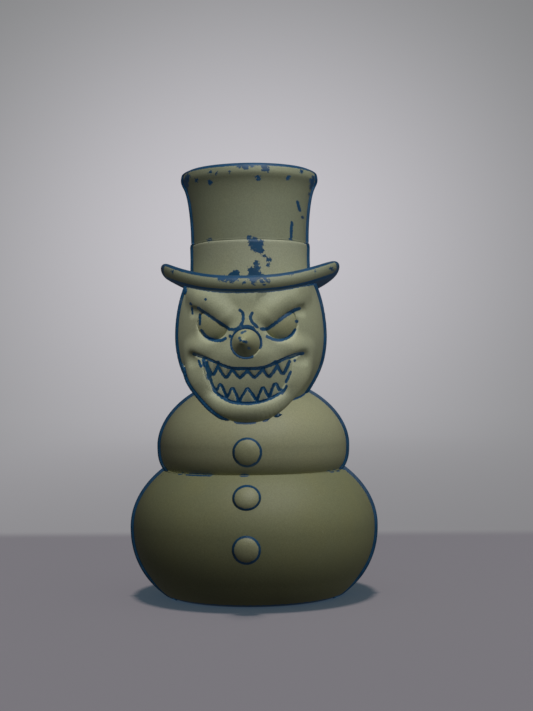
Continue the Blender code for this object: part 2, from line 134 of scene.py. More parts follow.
def smooth_union(a, b, k):
    h = np.clip(0.5 + 0.5 * (b - a) / k, 0.0, 1.0)
    return b * (1 - h) + a * h - k * h * (1 - h)


def smooth_cut(a, b, k):
    return -smooth_union(-a, b, k)


def flip_x(p):
    return p * np.array((-1.0, 1.0, 1.0))


def resample(points, count):
    """Points spaced evenly along a smooth (Catmull-Rom) curve through the given ones."""
    pts = np.asarray(points, float)
    ext = np.vstack((2 * pts[0] - pts[1], pts, 2 * pts[-1] - pts[-2]))
    dense = []
    for i in range(1, len(ext) - 2):
        p0, p1, p2, p3 = ext[i - 1:i + 3]
        for t in np.linspace(0, 1, 24, endpoint=False):
            dense.append(0.5 * (2 * p1 + (p2 - p0) * t + (2 * p0 - 5 * p1 + 4 * p2 - p3) * t * t + (3 * p1 - p0 - 3 * p2 + p3) * t ** 3))
    dense = np.array(dense + [ext[-2]])
    run = np.concatenate(([0], np.cumsum(np.linalg.norm(np.diff(dense, axis=0), axis=1))))
    at = np.linspace(0, run[-1], count)
    return np.stack([np.interp(at, run, dense[:, i]) for i in range(dense.shape[1])], axis=1)


# ---------------------------------------------------------------- the head
def egg_front(x, z):
    b = HEAD_UP if z > HEAD_Z else HEAD_LOW
    share = 1.0 - (x / HEAD_R) ** 2 - ((z - HEAD_Z) / b) ** 2
    return HEAD_Y - HEAD_R * math.sqrt(max(share, 0.0))


def lip_path():
    points, radii = [], []
    for i in range(13):
        t = math.radians(-90.0 + 94.0 * i / 12)
        c, s = abs(math.cos(t)), math.sin(t)
        x = (MOUTH_A + 3.0) * c ** (2 / MOUTH_N)
        z = MOUTH_MID_Z + math.copysign((MOUTH_B + 2.5) * abs(s) ** (2 / MOUTH_N), s)
        u = i / 12
        points.append((x, -25.7 + 8.4 * u ** 1.5, z))
        radii.append(3.9 - 1.3 * math.sin(math.pi * min(u / 0.9, 1.0)) ** 2 - 2.0 * max(0.0, (u - 0.6) / 0.4) ** 1.3 + 0.3 * u)
    both = resample(np.column_stack((points, radii)), 26)
    return both[:, :3], both[:, 3]


def brow_path():
    made = resample(np.column_stack((((5.5, -24.7, 84.9), (7.6, -24.0, 87.3), (11.4, -22.5, 89.6), (14.2, -20.0, 90.9), (16.2, -17.2, 91.6)), (4.4, 4.6, 4.0, 3.0, 1.8))), 20)
    return made[:, :3], made[:, 3]


LIP, BROW = lip_path(), brow_path()


def hat_curl(x, y, z):
    """Lift of a point of the hat, with x and y measured from the hat's own axis."""
    rho = np.hypot(x, y)
    side = np.abs(x / np.maximum(rho, 1e-6)) ** 2.4
    fade = np.clip((103.0 - z) / 6.0, 0.0, 1.0)
    fade = fade * fade * (3 - 2 * fade)
    return BRIM_CURL * side * np.minimum(rho / BRIM_R, 1.05) ** 2 * fade


def lip_height(x, drop=0.0):
    s = np.clip((np.abs(x) - 2.5) / 13.5, 0.0, 1.0)
    return MOUTH_TOP_Z + MOUTH_RISE * s * s * (3 - 2 * s) - drop


def mouth_outline(n=20):
    points = [MOUTH_CORNER]
    for i in range(2 * n + 1):
        t = math.pi * i / (2 * n)
        c, s = math.cos(t), math.sin(t)
        points.append((math.copysign(MOUTH_A * abs(c) ** (2 / MOUTH_N), c), MOUTH_MID_Z - 0.9 - (MOUTH_B - 0.9) * s ** (2 / MOUTH_N)))
    points.append((-MOUTH_CORNER[0], MOUTH_CORNER[1]))
    for i in range(1, 2 * n):
        x = (-1 + i / n) * (MOUTH_A - 0.2)
        points.append((x, float(lip_height(x))))
    return np.array(points)


def polygon_distance(q, poly):
    """Signed distance in the plane to a closed outline, negative inside."""
    best = np.full(len(q), 1e9)
    inside = np.zeros(len(q), bool)
    for a, b in zip(poly, np.roll(poly, -1, axis=0)):
        ab = b - a
        t = np.clip(((q - a) @ ab) / (ab @ ab), 0.0, 1.0)
        best = np.minimum(best, np.linalg.norm(q - a - t[:, None] * ab, axis=1))
        crosses = (a[1] > q[:, 1]) != (b[1] > q[:, 1])
        with np.errstate(divide="ignore", invalid="ignore"):
            at = a[0] + (q[:, 1] - a[1]) * ab[0] / (ab[1] if ab[1] else 1e-12)
        inside ^= crosses & (q[:, 0] < at)
    return np.where(inside, -best, best)


OUTLINE = mouth_outline()
NOSE_PROFILE = np.array([(0.0, 44.4), (0.5, 44.25), (0.9, 43.7), (2.2, 39.0), (3.3, 34.6), (3.9, 31.4), (4.1, 29.2), (3.9, 27.6), (3.4, 26.4)])


def eased(v, start, span):
    t = np.clip((v - start) / span, 0.0, 1.0)
    return t * t * (3 - 2 * t)


def head_core(p):
    q = p.copy()
    q[..., 0] = np.abs(q[..., 0])
    up = (p[..., 2] > HEAD_Z)[..., None]
    radii = np.where(up, (HEAD_R, HEAD_R, HEAD_UP), (HEAD_R, HEAD_R, HEAD_LOW))
    rel = p - np.asarray((0.0, HEAD_Y, HEAD_Z))
    k0 = np.linalg.norm(rel / radii, axis=-1)
    k1 = np.linalg.norm(rel / radii ** 2, axis=-1)
    form = k0 * (k0 - 1.0) / np.maximum(k1, 1e-9)
    form = smooth_union(form, sd_ellipsoid(p, (0.0, -12.0, 69.5), (17.2, 16.0, 14.4)), 5.0)
    form = smooth_union(form, sd_ellipsoid(p, (0.0, -20.6, 73.4), (11.0, 8.5, 5.2)), 2.5)
    form = smooth_union(form, sd_ellipsoid(q, (11.2, -18.9, 75.2), (7.0, 7.4, 4.4)), 2.5)
    form = smooth_union(form, sd_path(q, *LIP), 1.6 + 2.8 * eased(p[..., 2], 59.0, 11.0) + 2.2 * eased(q[..., 0], 9.5, 4.0) * (1 - eased(p[..., 2], 64.0, 7.0)))
    hollow = sd_turned_ellipsoid(q, (EYE_C[0], EYE_C[1] - 2.4, EYE_C[2]), (4.6, 4.7, 4.4), EYE_TURN)
    form = smooth_cut(form, hollow, 2.0)
    form = smooth_union(form, sd_ellipsoid(p, (0.0, -19.1, 90.6), (13.0, 9.1, 7.4)), 3.0)
    brows = smooth_union(sd_path(p, *BROW), sd_path(flip_x(p), *BROW), 0.7)
    return smooth_union(form, brows, 1.2 + 3.0 * eased(q[..., 0], 11.5, 4.5))


def front_y(x, z):
    """Where the head's surface lies at a point of its face."""
    y = np.linspace(-34, -8, 261)
    f = head_core(np.stack((np.full(261, float(x)), y, np.full(261, float(z))), axis=1))
    return float(y[np.argmax(f < 0)])


SMILE = [(x, front_y(x, z) - 0.35, z) for x, z in ((10.6, 70.6), (12.4, 71.3), (14.2, 71.9), (15.8, 72.2), (16.9, 72.3))], (0.1, 0.4, 0.8, 1.1, 1.15)


BROW_END = [(x, front_y(x, z) - 0.3, z) for x, z in ((13.6, 85.3), (15.2, 85.9), (16.6, 86.1))], (0.2, 0.8, 0.95)


def head_body(p):
    """The head as one smooth form, without the mouth or any sockets."""
    q = p.copy()
    q[..., 0] = np.abs(q[..., 0])
    return smooth_cut(smooth_cut(head_core(p), sd_path(q, *SMILE), 1.7), sd_path(q, *BROW_END), 1.5)


def slope(p):
    """How squarely the head's surface at p faces the photograph's viewpoint: 0 on the outline seen from there."""
    f = head_body(p)
    g = np.stack([(head_body(p + 0.05 * e) - f) / 0.05 for e in np.eye(3)], axis=1)
    g /= np.linalg.norm(g, axis=1, keepdims=True)
    to = EYE - p
    return (g * to).sum(axis=1) / np.linalg.norm(to, axis=1)


def head_slim(p):
    """The head drawn in a little towards its outline, to leave room for the bead."""
    jaw = eased(np.hypot(p[:, 0], p[:, 2] - 72.5), 13.5, 4.5) * (1 - eased(p[:, 2], 70.0, 8.0))
    back = eased(p[:, 1], -29.0, 17.0)
    leaner = eased(p[:, 2], 56.0, 6.0) * (1 - eased(p[:, 2], 62.0, 10.0))
    return head_body(p) + (0.68 + 0.5 * leaner * jaw) * (1 - (1 - jaw) * (1 - back))


def seen_angle(p):
    """Angle round the face as seen: 0 straight down, positive towards +X."""
    q = seen(p) - np.array((0.0, 76.0))
    return np.arctan2(q[..., 0], -q[..., 1]), np.hypot(q[..., 0], q[..., 1])


def head_outline():
    """How far out the head reaches as seen, at a row of angles round the face."""
    angles, radii, depths = np.arange(-180.0, 181.0, 1.5), np.arange(12.0, 31.0, 0.5), np.arange(-29.0, 3.0, 1.0)
    a = np.radians(angles)[:, None, None]
    r, y = radii[None, :, None], depths[None, None, :]
    u, v = r * np.sin(a), 76.0 - r * np.cos(a)
    far = (y - EYE[1]) / (math.cos(AZIMUTH) * (1 + u * math.tan(AZIMUTH) / DISTANCE))      # distance along the line of sight
    x = EYE[0] + far * (u / DISTANCE * math.cos(AZIMUTH) - math.sin(AZIMUTH))
    z = HEIGHT + far * (v - HEIGHT) / DISTANCE
    grid = np.stack(np.broadcast_arrays(x, y + 0 * x, z), axis=-1)
    f = head_slim(grid.reshape(-1, 3)).reshape(grid.shape[:3]).min(axis=2)
    reach = []
    for row in f:
        k = int(np.flatnonzero(row < 0)[-1]) if (row < 0).any() else 0
        k = min(k, len(row) - 2)
        reach.append(radii[k] + 0.5 * float(np.clip(row[k] / (row[k] - row[k + 1] - 1e-9), 0, 1)))
    return np.radians(angles), np.array(reach)


HEAD_OUTLINE = head_outline()


def on_side(p, inside=0.32, soft=0.22):
    """1 at the head's outline as seen, 0 from a short way inside it, mm."""
    a, r = seen_angle(p)
    chin = np.clip((0.8 - np.abs(a)) / 0.15, 0.0, 1.0)          # the outline is fuller under the chin
    near = np.clip((r - np.interp(a, *HEAD_OUTLINE) + inside + 0.28 * chin) / (soft + 0.13 * chin), 0.0, 1.0)
    return np.where((p[:, 1] > -29) & (p[:, 1] < 4) & (p[:, 2] > 51), near, 0.0)


def off_outline(p):
    """Roughly how far p lies from the line where the head's outline falls from the photograph's viewpoint, mm."""
    f = slope(p)
    away = np.abs(f) * 26.0
    near = np.flatnonzero(np.abs(f) < 0.5)
    if len(near):
        g = np.stack([(slope(p[near] + 0.08 * e) - f[near]) / 0.08 for e in np.eye(3)], axis=1)
        away[near] = np.abs(f[near]) / np.clip(np.linalg.norm(g, axis=1), 1 / 26.0, 1 / 2.5)
    return away


def gapped(angle, spans, soft=0.05):
    """0 inside the given spans of angle (radians), rising to 2 outside them: it opens gaps in a ring."""
    out = np.full(len(angle), 9.0)
    for a, b in spans:
        mid, half = (a + b) / 2, (b - a) / 2
        off = np.abs((angle - mid + math.pi) % (2 * math.pi) - math.pi) - half
        out = np.minimum(out, np.maximum(off, 0) / soft)
    return np.minimum(out, 2.0)


CHIN_SPANS = [(deg(-180), deg(-19.2)), (deg(-13.4), deg(1.4)), (deg(8.6), deg(11.6)), (deg(18.6), deg(23.6)), (deg(36.7), deg(180))]


def above_seat(p):
    """1 clear of the ball the head sits in, 0 inside it."""
    return np.clip((np.hypot(p[:, 0], p[:, 1]) - middle_radius(p[:, 2]) + SLIM - 0.1) / 0.5, 0.0, 1.0)


def head_form(p):
    form = head_slim(p)
    edge = on_side(p)
    side = np.flatnonzero((np.abs(form) < 1.3) & (edge > 0))
    if len(side):
        q = p[side]
        gap = gapped(seen_angle(q)[0], CHIN_SPANS)
        tall = np.maximum(SEAM_H * edge[side] * above_seat(q) * np.clip(1 - gap, 0, 1), 0.02)
        bead = (np.sqrt((form[side] / tall) ** 2 + (off_outline(q) / SEAM_W) ** 2) - 1.0) * 0.5
        form[side] = np.where(tall > 0.1, np.minimum(form[side], bead), form[side])
    # mouth
    near = (p[:, 1] < -8) & (np.abs(p[:, 0]) < 18) & (p[:, 2] > 56) & (p[:, 2] < 77)
    if near.any():
        q = p[near]
        cut = polygon_distance(q[:, [0, 2]], OUTLINE)
        cut = smooth_cut(cut, sd_ellipsoid(q, WALL_C, WALL_R), 0.5)
        form[near] = smooth_cut(form[near], cut, 0.45)
    # sockets of the eyes and the nose
    q = p.copy()
    q[:, 0] = np.abs(q[:, 0])
    form = np.maximum(form, 0.04 - sd_turned_ellipsoid(q, EYE_C, EYE_R, EYE_TURN))
    rho = np.hypot(p[:, 0], p[:, 2] - NOSE_Z)
    nose = np.maximum(rho - np.interp(-p[:, 1], NOSE_PROFILE[::-1, 1], NOSE_PROFILE[::-1, 0]) - 0.04, p[:, 1] - NOSE_ROOT_Y - 0.04)
    form = np.maximum(form, -nose)
    # the hat's underside
    x, y = p[:, 0], p[:, 1] - HAT_Y
    under = BRIM_Z - BRIM_PLATE - 0.2 * np.clip((np.hypot(x, y) - 17.0) / 5.0, 0, 1) + hat_curl(x, y, np.full(len(p), 92.0))
    return np.maximum(form, (p[:, 2] - under + 0.05) * 0.96)


# ---------------------------------------------------------------- meshes
def new_piece(name, verts, quads, tris=None):
    quads = np.asarray(quads, np.int32).reshape(-1, 4)
    tris = np.zeros((0, 3), np.int32) if tris is None else np.asarray(tris, np.int32).reshape(-1, 3)
    mesh = bpy.data.meshes.new(name)
    mesh.vertices.add(len(verts))
    mesh.vertices.foreach_set("co", (np.asarray(verts, float) * MM).astype(np.float32).ravel())
    loops = np.concatenate((quads.ravel(), tris.ravel()))
    mesh.loops.add(len(loops))
    mesh.loops.foreach_set("vertex_index", loops)
    mesh.polygons.add(len(quads) + len(tris))
    mesh.polygons.foreach_set("loop_start", np.concatenate((np.arange(len(quads)) * 4, len(quads) * 4 + np.arange(len(tris)) * 3)).astype(np.int32))
    mesh.update(calc_edges=True)
    mesh.validate()
    mesh.shade_smooth()
    obj = bpy.data.objects.new(name, mesh)
    scene.collection.objects.link(obj)
    return obj


def positions(obj):
    co = np.empty(len(obj.data.vertices) * 3, np.float32)
    obj.data.vertices.foreach_get("co", co)
    return co.reshape(-1, 3).astype(float) / MM


def attribute(obj, name, values):
    obj.data.attributes.new(name, "FLOAT", "POINT").data.foreach_set("value", np.asarray(values, np.float32))


def turned(name, profile, steps):
    """A turned solid. profile runs from the top down the outside to the bottom, and starts and ends on the axis."""
    profile = np.asarray(profile, float)
    ring = profile[1:-1]
    m = len(ring)
    a = np.arange(steps) / steps * 2 * math.pi
    body = np.stack((ring[:, :1] * np.cos(a), ring[:, :1] * np.sin(a), np.repeat(ring[:, 1:], steps, axis=1)), axis=-1).reshape(-1, 3)
    verts = np.vstack(((0, 0, profile[0, 1]), body, (0, 0, profile[-1, 1])))
    j = np.arange(steps)
    k = (j + 1) % steps
    i = np.arange(m - 1)[:, None] * steps + 1
    quads = np.stack((i + j, i + steps + j, i + steps + k, i + k), axis=-1).reshape(-1, 4)
    last = 1 + (m - 1) * steps
    tris = np.vstack((np.stack((np.zeros(steps, int), 1 + j, 1 + k), axis=1), np.stack((np.full(steps, len(verts) - 1), last + k, last + j), axis=1)))
    return new_piece(name, verts, quads, tris)


def seamed(name, profile, steps, height, width=SEAM_W, centre_y=0.0):
    """A turned solid with a fine raised bead down each side, where its outline falls from the photograph's viewpoint.
    height gives the bead's height at each z. Also returns each vertex's distance to the bead's edge."""
    profile = np.asarray(profile, float)
    ring = profile[1:-1]
    tangent = np.gradient(profile, axis=0)[1:-1]
    tangent /= np.linalg.norm(tangent, axis=1, keepdims=True)
    nr, nz = -tangent[:, 1], tangent[:, 0]
    ahead = EYE - np.array((0.0, centre_y, 0.0))
    reach, facing = math.hypot(ahead[0], ahead[1]), math.atan2(ahead[0], -ahead[1])
    steep = nz / np.maximum(nr, 0.05)
    turn = np.arccos(np.clip((ring[:, 0] - steep * (ahead[2] - ring[:, 1])) / reach, -0.6, 0.6))
    marks = np.array((-2.0, -1.4, -1.06, -1.0, -0.94, -0.8, -0.55, -0.28, 0.0, 0.28, 0.55, 0.8, 0.94, 1.0, 1.06, 1.4, 2.0))
    lift = np.sqrt(np.maximum(0.0, 1.0 - marks ** 2))
    around = np.maximum(ring[:, 0], 9.0)
    tall = np.array([height(z) for z in ring[:, 1]]) * (nr > 0.2)
    offset = marks[None] * width / around[:, None]
    left, right = (facing - turn)[:, None], (facing + turn)[:, None]
    half = steps // 2
    f = (np.arange(1, half) / half)[None]
    front = (left + offset[:, -1:]) + (right - left + offset[:, :1] - offset[:, -1:]) * f
    back = (right + offset[:, -1:]) + (left + 2 * math.pi - right + offset[:, :1] - offset[:, -1:]) * f
    angle = np.concatenate((left + offset, front, right + offset, back), axis=1)
    up = np.concatenate((np.tile(lift, (len(ring), 1)), np.zeros_like(front), np.tile(lift, (len(ring), 1)), np.zeros_like(back)), axis=1) * tall[:, None]
    cols = angle.shape[1]
    r = ring[:, :1] + up * nr[:, None]
    z = ring[:, 1:] + up * nz[:, None]
    body = np.stack((r * np.sin(angle), -r * np.cos(angle), z), axis=-1).reshape(-1, 3)
    verts = np.vstack(((0, 0, profile[0, 1]), body, (0, 0, profile[-1, 1])))
    j = np.arange(cols)
    k = (j + 1) % cols
    i = np.arange(len(ring) - 1)[:, None] * cols + 1
    quads = np.stack((i + j, i + cols + j, i + cols + k, i + k), axis=-1).reshape(-1, 4)
    last = 1 + (len(ring) - 1) * cols
    tris = np.vstack((np.stack((np.zeros(cols, int), 1 + j, 1 + k), axis=1), np.stack((np.full(cols, len(verts) - 1), last + k, last + j), axis=1)))
    away = np.minimum(np.abs((angle - left + math.pi) % (2 * math.pi) - math.pi), np.abs((angle - right + math.pi) % (2 * math.pi) - math.pi)) * around[:, None]
    edge = away - width - 0.4 + 3.0 * (1.0 - np.clip(tall / 0.25, 0, 1))[:, None]
    return new_piece(name, verts, quads, tris), np.concatenate(((9.0,), edge.ravel(), (9.0,)))


def surface_net(form, low, high, step):
    """A closed mesh of quads where form is zero, from a grid of the given step."""
    low = np.asarray(low, float)
    n = (np.ceil((np.asarray(high) - low) / step / 4).astype(int)) * 4 + 1
    axes = [low[i] + step * np.arange(n[i]) for i in range(3)]
    coarse_axes = [a[::4] for a in axes]
    grid = np.stack(np.meshgrid(*coarse_axes, indexing="ij"), axis=-1)
    coarse = form(grid.reshape(-1, 3)).reshape(grid.shape[:3])
    near = np.abs(coarse) < step * 8
    block = np.zeros(np.array(near.shape) - 1, bool)
    for dx in (0, 1):
        for dy in (0, 1):
            for dz in (0, 1):
                block |= near[dx:near.shape[0] - 1 + dx, dy:near.shape[1] - 1 + dy, dz:near.shape[2] - 1 + dz]
    index = [np.minimum(np.rint(np.arange(k) / 4).astype(int), s - 1) for k, s in zip(n, coarse.shape)]
    field = coarse[np.ix_(*index)]
    wanted = np.zeros(n, bool)
    for i, j, k in np.argwhere(block) * 4:
        wanted[i:i + 5, j:j + 5, k:k + 5] = True
    where = np.argwhere(wanted)
    values = np.empty(len(where))
    for s in range(0, len(where), 300000):
        values[s:s + 300000] = form(low + step * where[s:s + 300000])
    field[tuple(where.T)] = values
    inside = field < 0
    count = np.zeros(np.array(field.shape) - 1, np.int8)
    corners = [(a, b, c) for a in (0, 1) for b in (0, 1) for c in (0, 1)]
    for a, b, c in corners:
        count += inside[a:inside.shape[0] - 1 + a, b:inside.shape[1] - 1 + b, c:inside.shape[2] - 1 + c]
    mixed = (count > 0) & (count < 8)
    cells = np.argwhere(mixed)
    number = np.full(mixed.shape, -1, np.int64)
    number[mixed] = np.arange(len(cells))
    total, hits = np.zeros((len(cells), 3)), np.zeros(len(cells))
    for a in corners:
        for axis in range(3):
            if a[axis]:
                continue
            b = tuple(v + (i == axis) for i, v in enumerate(a))
            va, vb = field[tuple((cells + a).T)], field[tuple((cells + b).T)]
            crossing = (va < 0) != (vb < 0)
            t = va[crossing] / (va[crossing] - vb[crossing])
            at = np.repeat(np.asarray(a, float)[None], crossing.sum(), axis=0)
            at[:, axis] += t
            total[crossing] += at
            hits[crossing] += 1
    verts = low + step * (cells + total / hits[:, None])
    quads = []
    for axis in range(3):
        u, v = (axis + 1) % 3, (axis + 2) % 3
        first = inside[tuple(slice(0, -1) if i == axis else slice(None) for i in range(3))]
        second = inside[tuple(slice(1, None) if i == axis else slice(None) for i in range(3))]
        at = np.argwhere(first != second)
        eu, ev = np.eye(3, dtype=int)[u], np.eye(3, dtype=int)[v]
        quad = np.stack([number[tuple((at - o).T)] for o in (0 * eu, eu, eu + ev, ev)], axis=1)
        turn = ~first[tuple(at.T)]
        quad[turn] = quad[turn][:, ::-1]
        quads.append(quad)
    for _ in range(3):
        f = form(verts)
        g = np.stack([(form(verts + 0.02 * e) - f) / 0.02 for e in np.eye(3)], axis=1)
        move = -f[:, None] * g / np.maximum((g * g).sum(axis=1), 0.2)[:, None]
        size = np.linalg.norm(move, axis=1, keepdims=True)
        verts = verts + move * np.minimum(1.0, 0.25 * step / np.maximum(size, 1e-9))
    return verts, np.vstack(quads)


# ---------------------------------------------------------------- painted lines, as strokes seen from the front: (points x z), half width
def spline(points, step=0.5):
    pts = np.asarray(points, float)
    length = np.linalg.norm(np.diff(pts, axis=0), axis=1).sum()
    return resample(pts, max(3, int(length / step)))


STROKES = []


def stroke(points, half=0.4):
    STROKES.append((spline(points) if len(points) > 1 else np.array(points * 2, float), half + 0.07))


# brows: the fold above each eye, and the lobe beside the bridge
stroke([(-17.0, 88.7), (-16.5, 88.4)], 0.3)
stroke([(-14.3, 87.1), (-9.5, 83.8), (-5.2, 80.9)], 0.42)
stroke([(-4.9, 80.6), (-2.9, 80.6), (-1.5, 81.7), (-0.8, 83.4), (-0.9, 85.2), (-1.7, 86.1)], 0.38)
stroke([(-16.5, 87.4), (-16.4, 85.7)], 0.28)
stroke([(1.9, 85.3), (1.3, 84.1), (1.8, 82.6), (3.2, 81.2)], 0.4)
stroke([(4.4, 80.6), (5.8, 80.6), (8.0, 81.9), (11.0, 84.2), (13.8, 86.1), (15.3, 86.7)], 0.42)
# eyes
stroke([(-13.9, 85.2), (-13.9, 82.4)], 0.35)
stroke([(-13.4, 80.5), (-12.4, 79.1), (-11.0, 78.1), (-9.0, 77.5), (-7.4, 77.4), (-6.1, 78.0)], 0.44)
stroke([(-4.7, 78.6)], 0.4)
stroke([(6.0, 78.4), (7.7, 77.6), (9.4, 77.3), (11.2, 77.7), (12.9, 78.8), (14.0, 80.4)], 0.38)
stroke([(14.5, 82.9)], 0.45)
stroke([(-11.8, 89.5)], 0.4)
# nose ring, open at the lower right, with a heavier cap
NOSE_RING = [(4.25 * math.cos(math.radians(t)), NOSE_Z + 0.05 + 4.25 * math.sin(math.radians(t))) for t in range(-18, 300, 12)]
stroke(NOSE_RING, 0.42)
stroke([(-1.6, 80.9), (0.2, 81.3), (2.1, 80.8)], 0.5)
# upper lip and the corners of the mouth
stroke([(-15.9, 73.7), (-14.6, 73.3)] + [(x, float(lip_height(x)) - 0.05) for x in (-13, -10, -7, -4, 0, 4, 7, 10, 13)] + [(14.8, 73.3), (16.2, 73.5)], 0.42)
# lower edge of the mouth
LOWER = [(MOUTH_A * math.copysign(abs(math.cos(t)) ** (2 / MOUTH_N), math.cos(t)), MOUTH_MID_Z - 0.9 - (MOUTH_B - 0.9) * math.sin(t) ** (2 / MOUTH_N)) for t in np.radians(np.arange(4, 177, 4))]
stroke([(-12.1, 71.0), (-11.8, 69.0), (-11.3, 67.0), (-11.0, 66.0)], 0.5)
stroke([(-11.0, 65.9), (-10.4, 64.3), (-9.3, 62.4), (-6.9, 60.6), (-4.2, 59.5), (-0.2, 59.05), (2.8, 59.3), (5.6, 60.0), (8.0, 61.1), (9.4, 61.9)], 0.4)
stroke([(10.1, 61.9), (10.9, 63.0), (11.4, 64.0)], 0.36)
stroke([(11.2, 65.2), (11.9, 66.5), (12.5, 68.0)], 0.4)
stroke([(-14.4, 71.7), (-13.7, 70.0)], 0.34)
stroke([(-13.6, 72.8), (-13.0, 71.6), (-12.7, 70.2)], 0.34)
stroke([(-12.4, 69.6), (-12.1, 68.4)], 0.3)
stroke([(-12.0, 67.4), (-11.7, 66.4)], 0.34)
stroke([(13.8, 71.4)], 0.36)
# teeth
for x, half, tip in UPPER_TEETH:
    for s in (-1, 1):
        root = float(lip_height(x))
        stroke([(s * (x - half), root - 0.6), (s * (x - 0.66 * half), (root + tip) / 2 - 0.1), (s * (x - 0.4), tip + 0.1), (s * x, tip - 0.1), (s * (x + 0.4), tip + 0.1), (s * (x + 0.66 * half), (root + tip) / 2 - 0.1), (s * (x + half), root - 0.5)], 0.4)
for x, half, tip in LOWER_TEETH:
    for s in ((-1, 1) if x else (1,)):
        foot = MOUTH_MID_Z - 0.9 - (MOUTH_B - 0.9) * (1 - (x / MOUTH_A) ** MOUTH_N) ** (1 / MOUTH_N)
        rise = 0.16 * x
        stroke([(s * (x - half), foot + 0.1 - rise * 0.5), (s * (x - 0.62 * half), (foot + tip) / 2), (s * (x - 0.35), tip - 0.1), (s * x, tip + 0.1), (s * (x + 0.35), tip - 0.1), (s * (x + 0.62 * half), (foot + tip) / 2), (s * (x + half), foot + 0.3 + rise)], 0.38)

# splashes of the same paint on the hat: (x, z, radius)
BLOTS = [(0.9, 107.6, 0.7), (2.0, 106.3, 1.5), (3.0, 105.2, 1.8), (4.4, 106.0, 1.0), (4.2, 103.9, 1.1), (5.2, 102.4, 0.6), (6.6, 101.2, 0.7), (6.3, 99.6, 0.5),
         (-11.6, 107.6, 0.5), (-10.7, 107.6, 0.5),
         (-7.2, 96.0, 0.9), (-5.8, 95.6, 1.2), (-4.4, 95.8, 1.5), (-3.2, 96.8, 1.4), (-2.6, 95.3, 1.2), (-3.6, 94.2, 0.7), (-0.2, 93.6, 0.45),
         (1.4, 98.0, 1.1), (2.2, 97.4, 1.6), (3.0, 99.0, 1.1), (2.4, 95.9, 1.7), (3.6, 96.4, 1.4), (2.6, 94.2, 1.0), (4.8, 94.2, 0.7), (6.0, 95.0, 0.6), (6.8, 94.0, 0.5), (5.6, 93.2, 0.4),
         (13.5, 96.2, 0.5), (20.2, 97.4, 0.4), (-22.0, 98.0, 0.5), (25.0, 98.6, 0.6), (26.2, 97.6, 0.7),
         (-1.6, 128.6, 1.0), (0.2, 128.4, 1.2), (1.8, 128.8, 1.0), (5.8, 127.9, 1.1), (6.6, 127.2, 0.7), (3.8, 124.9, 0.7), (12.5, 125.3, 0.6), (-10.6, 124.3, 0.7),
         (-8.5, 126.8, 0.45), (-10.6, 127.0, 0.4), (-4.3, 126.8, 0.4), (16.4, 127.7, 0.6), (19.4, 125.6, 0.9), (19.2, 124.2, 0.7), (-18.2, 126.8, 1.2), (-18.8, 125.2, 0.9), (-15.0, 125.6, 0.5), (-19.7, 126.4, 0.9), (-19.0, 124.0, 0.7), (19.9, 127.0, 0.7), (18.6, 122.4, 0.5),
         (-6.6, 95.0, 0.8), (-5.0, 94.6, 0.7), (-2.0, 96.2, 0.8), (2.9, 100.2, 0.7), (1.0, 96.6, 0.8), (3.4, 95.2, 0.9)]
HAT_STROKES = [([(13.3, 112.7), (13.1, 110.6), (13.0, 108.4)], 0.42), ([(12.6, 107.6), (13.2, 107.4)], 0.38), ([(15.0, 118.9), (15.3, 117.7), (15.6, 116.7)], 0.45), ([(16.4, 114.8)], 0.45)]


def stroke_distance(p, strokes, front_of):
    """Distance in the X Z plane to the nearest stroke's edge, for points in front of a plane."""
    q = p[:, [0, 2]]
    best = np.full(len(p), 9.0)
    for points, half in strokes:
        points = np.asarray(points, float)
        low, high = points.min(axis=0) - 3, points.max(axis=0) + 3
        near = np.flatnonzero(((q > low) & (q < high)).all(axis=1) & (p[:, 1] < front_of))
        if not len(near):
            continue
        r = q[near]
        d = np.full(len(near), 9.0)
        for a, b in zip(points, points[1:]) if len(points) > 1 else ((points[0], points[0]),):
            ab = b - a
            t = np.clip(((r - a) @ ab) / max(ab @ ab, 1e-9), 0.0, 1.0)
            d = np.minimum(d, np.linalg.norm(r - a - t[:, None] * ab, axis=1))
        best[near] = np.minimum(best[near], d - half)
    return best


def blot_distance(p, front_of=-6.0):
    best = np.full(len(p), 9.0)
    front = np.flatnonzero(p[:, 1] < front_of)
    q = p[front][:, [0, 2]]
    d = np.full(len(front), 9.0)
    for x, z, r in BLOTS:
        d = np.minimum(d, np.hypot(q[:, 0] - x, q[:, 1] - z) - r)
    best[front] = d
    return best


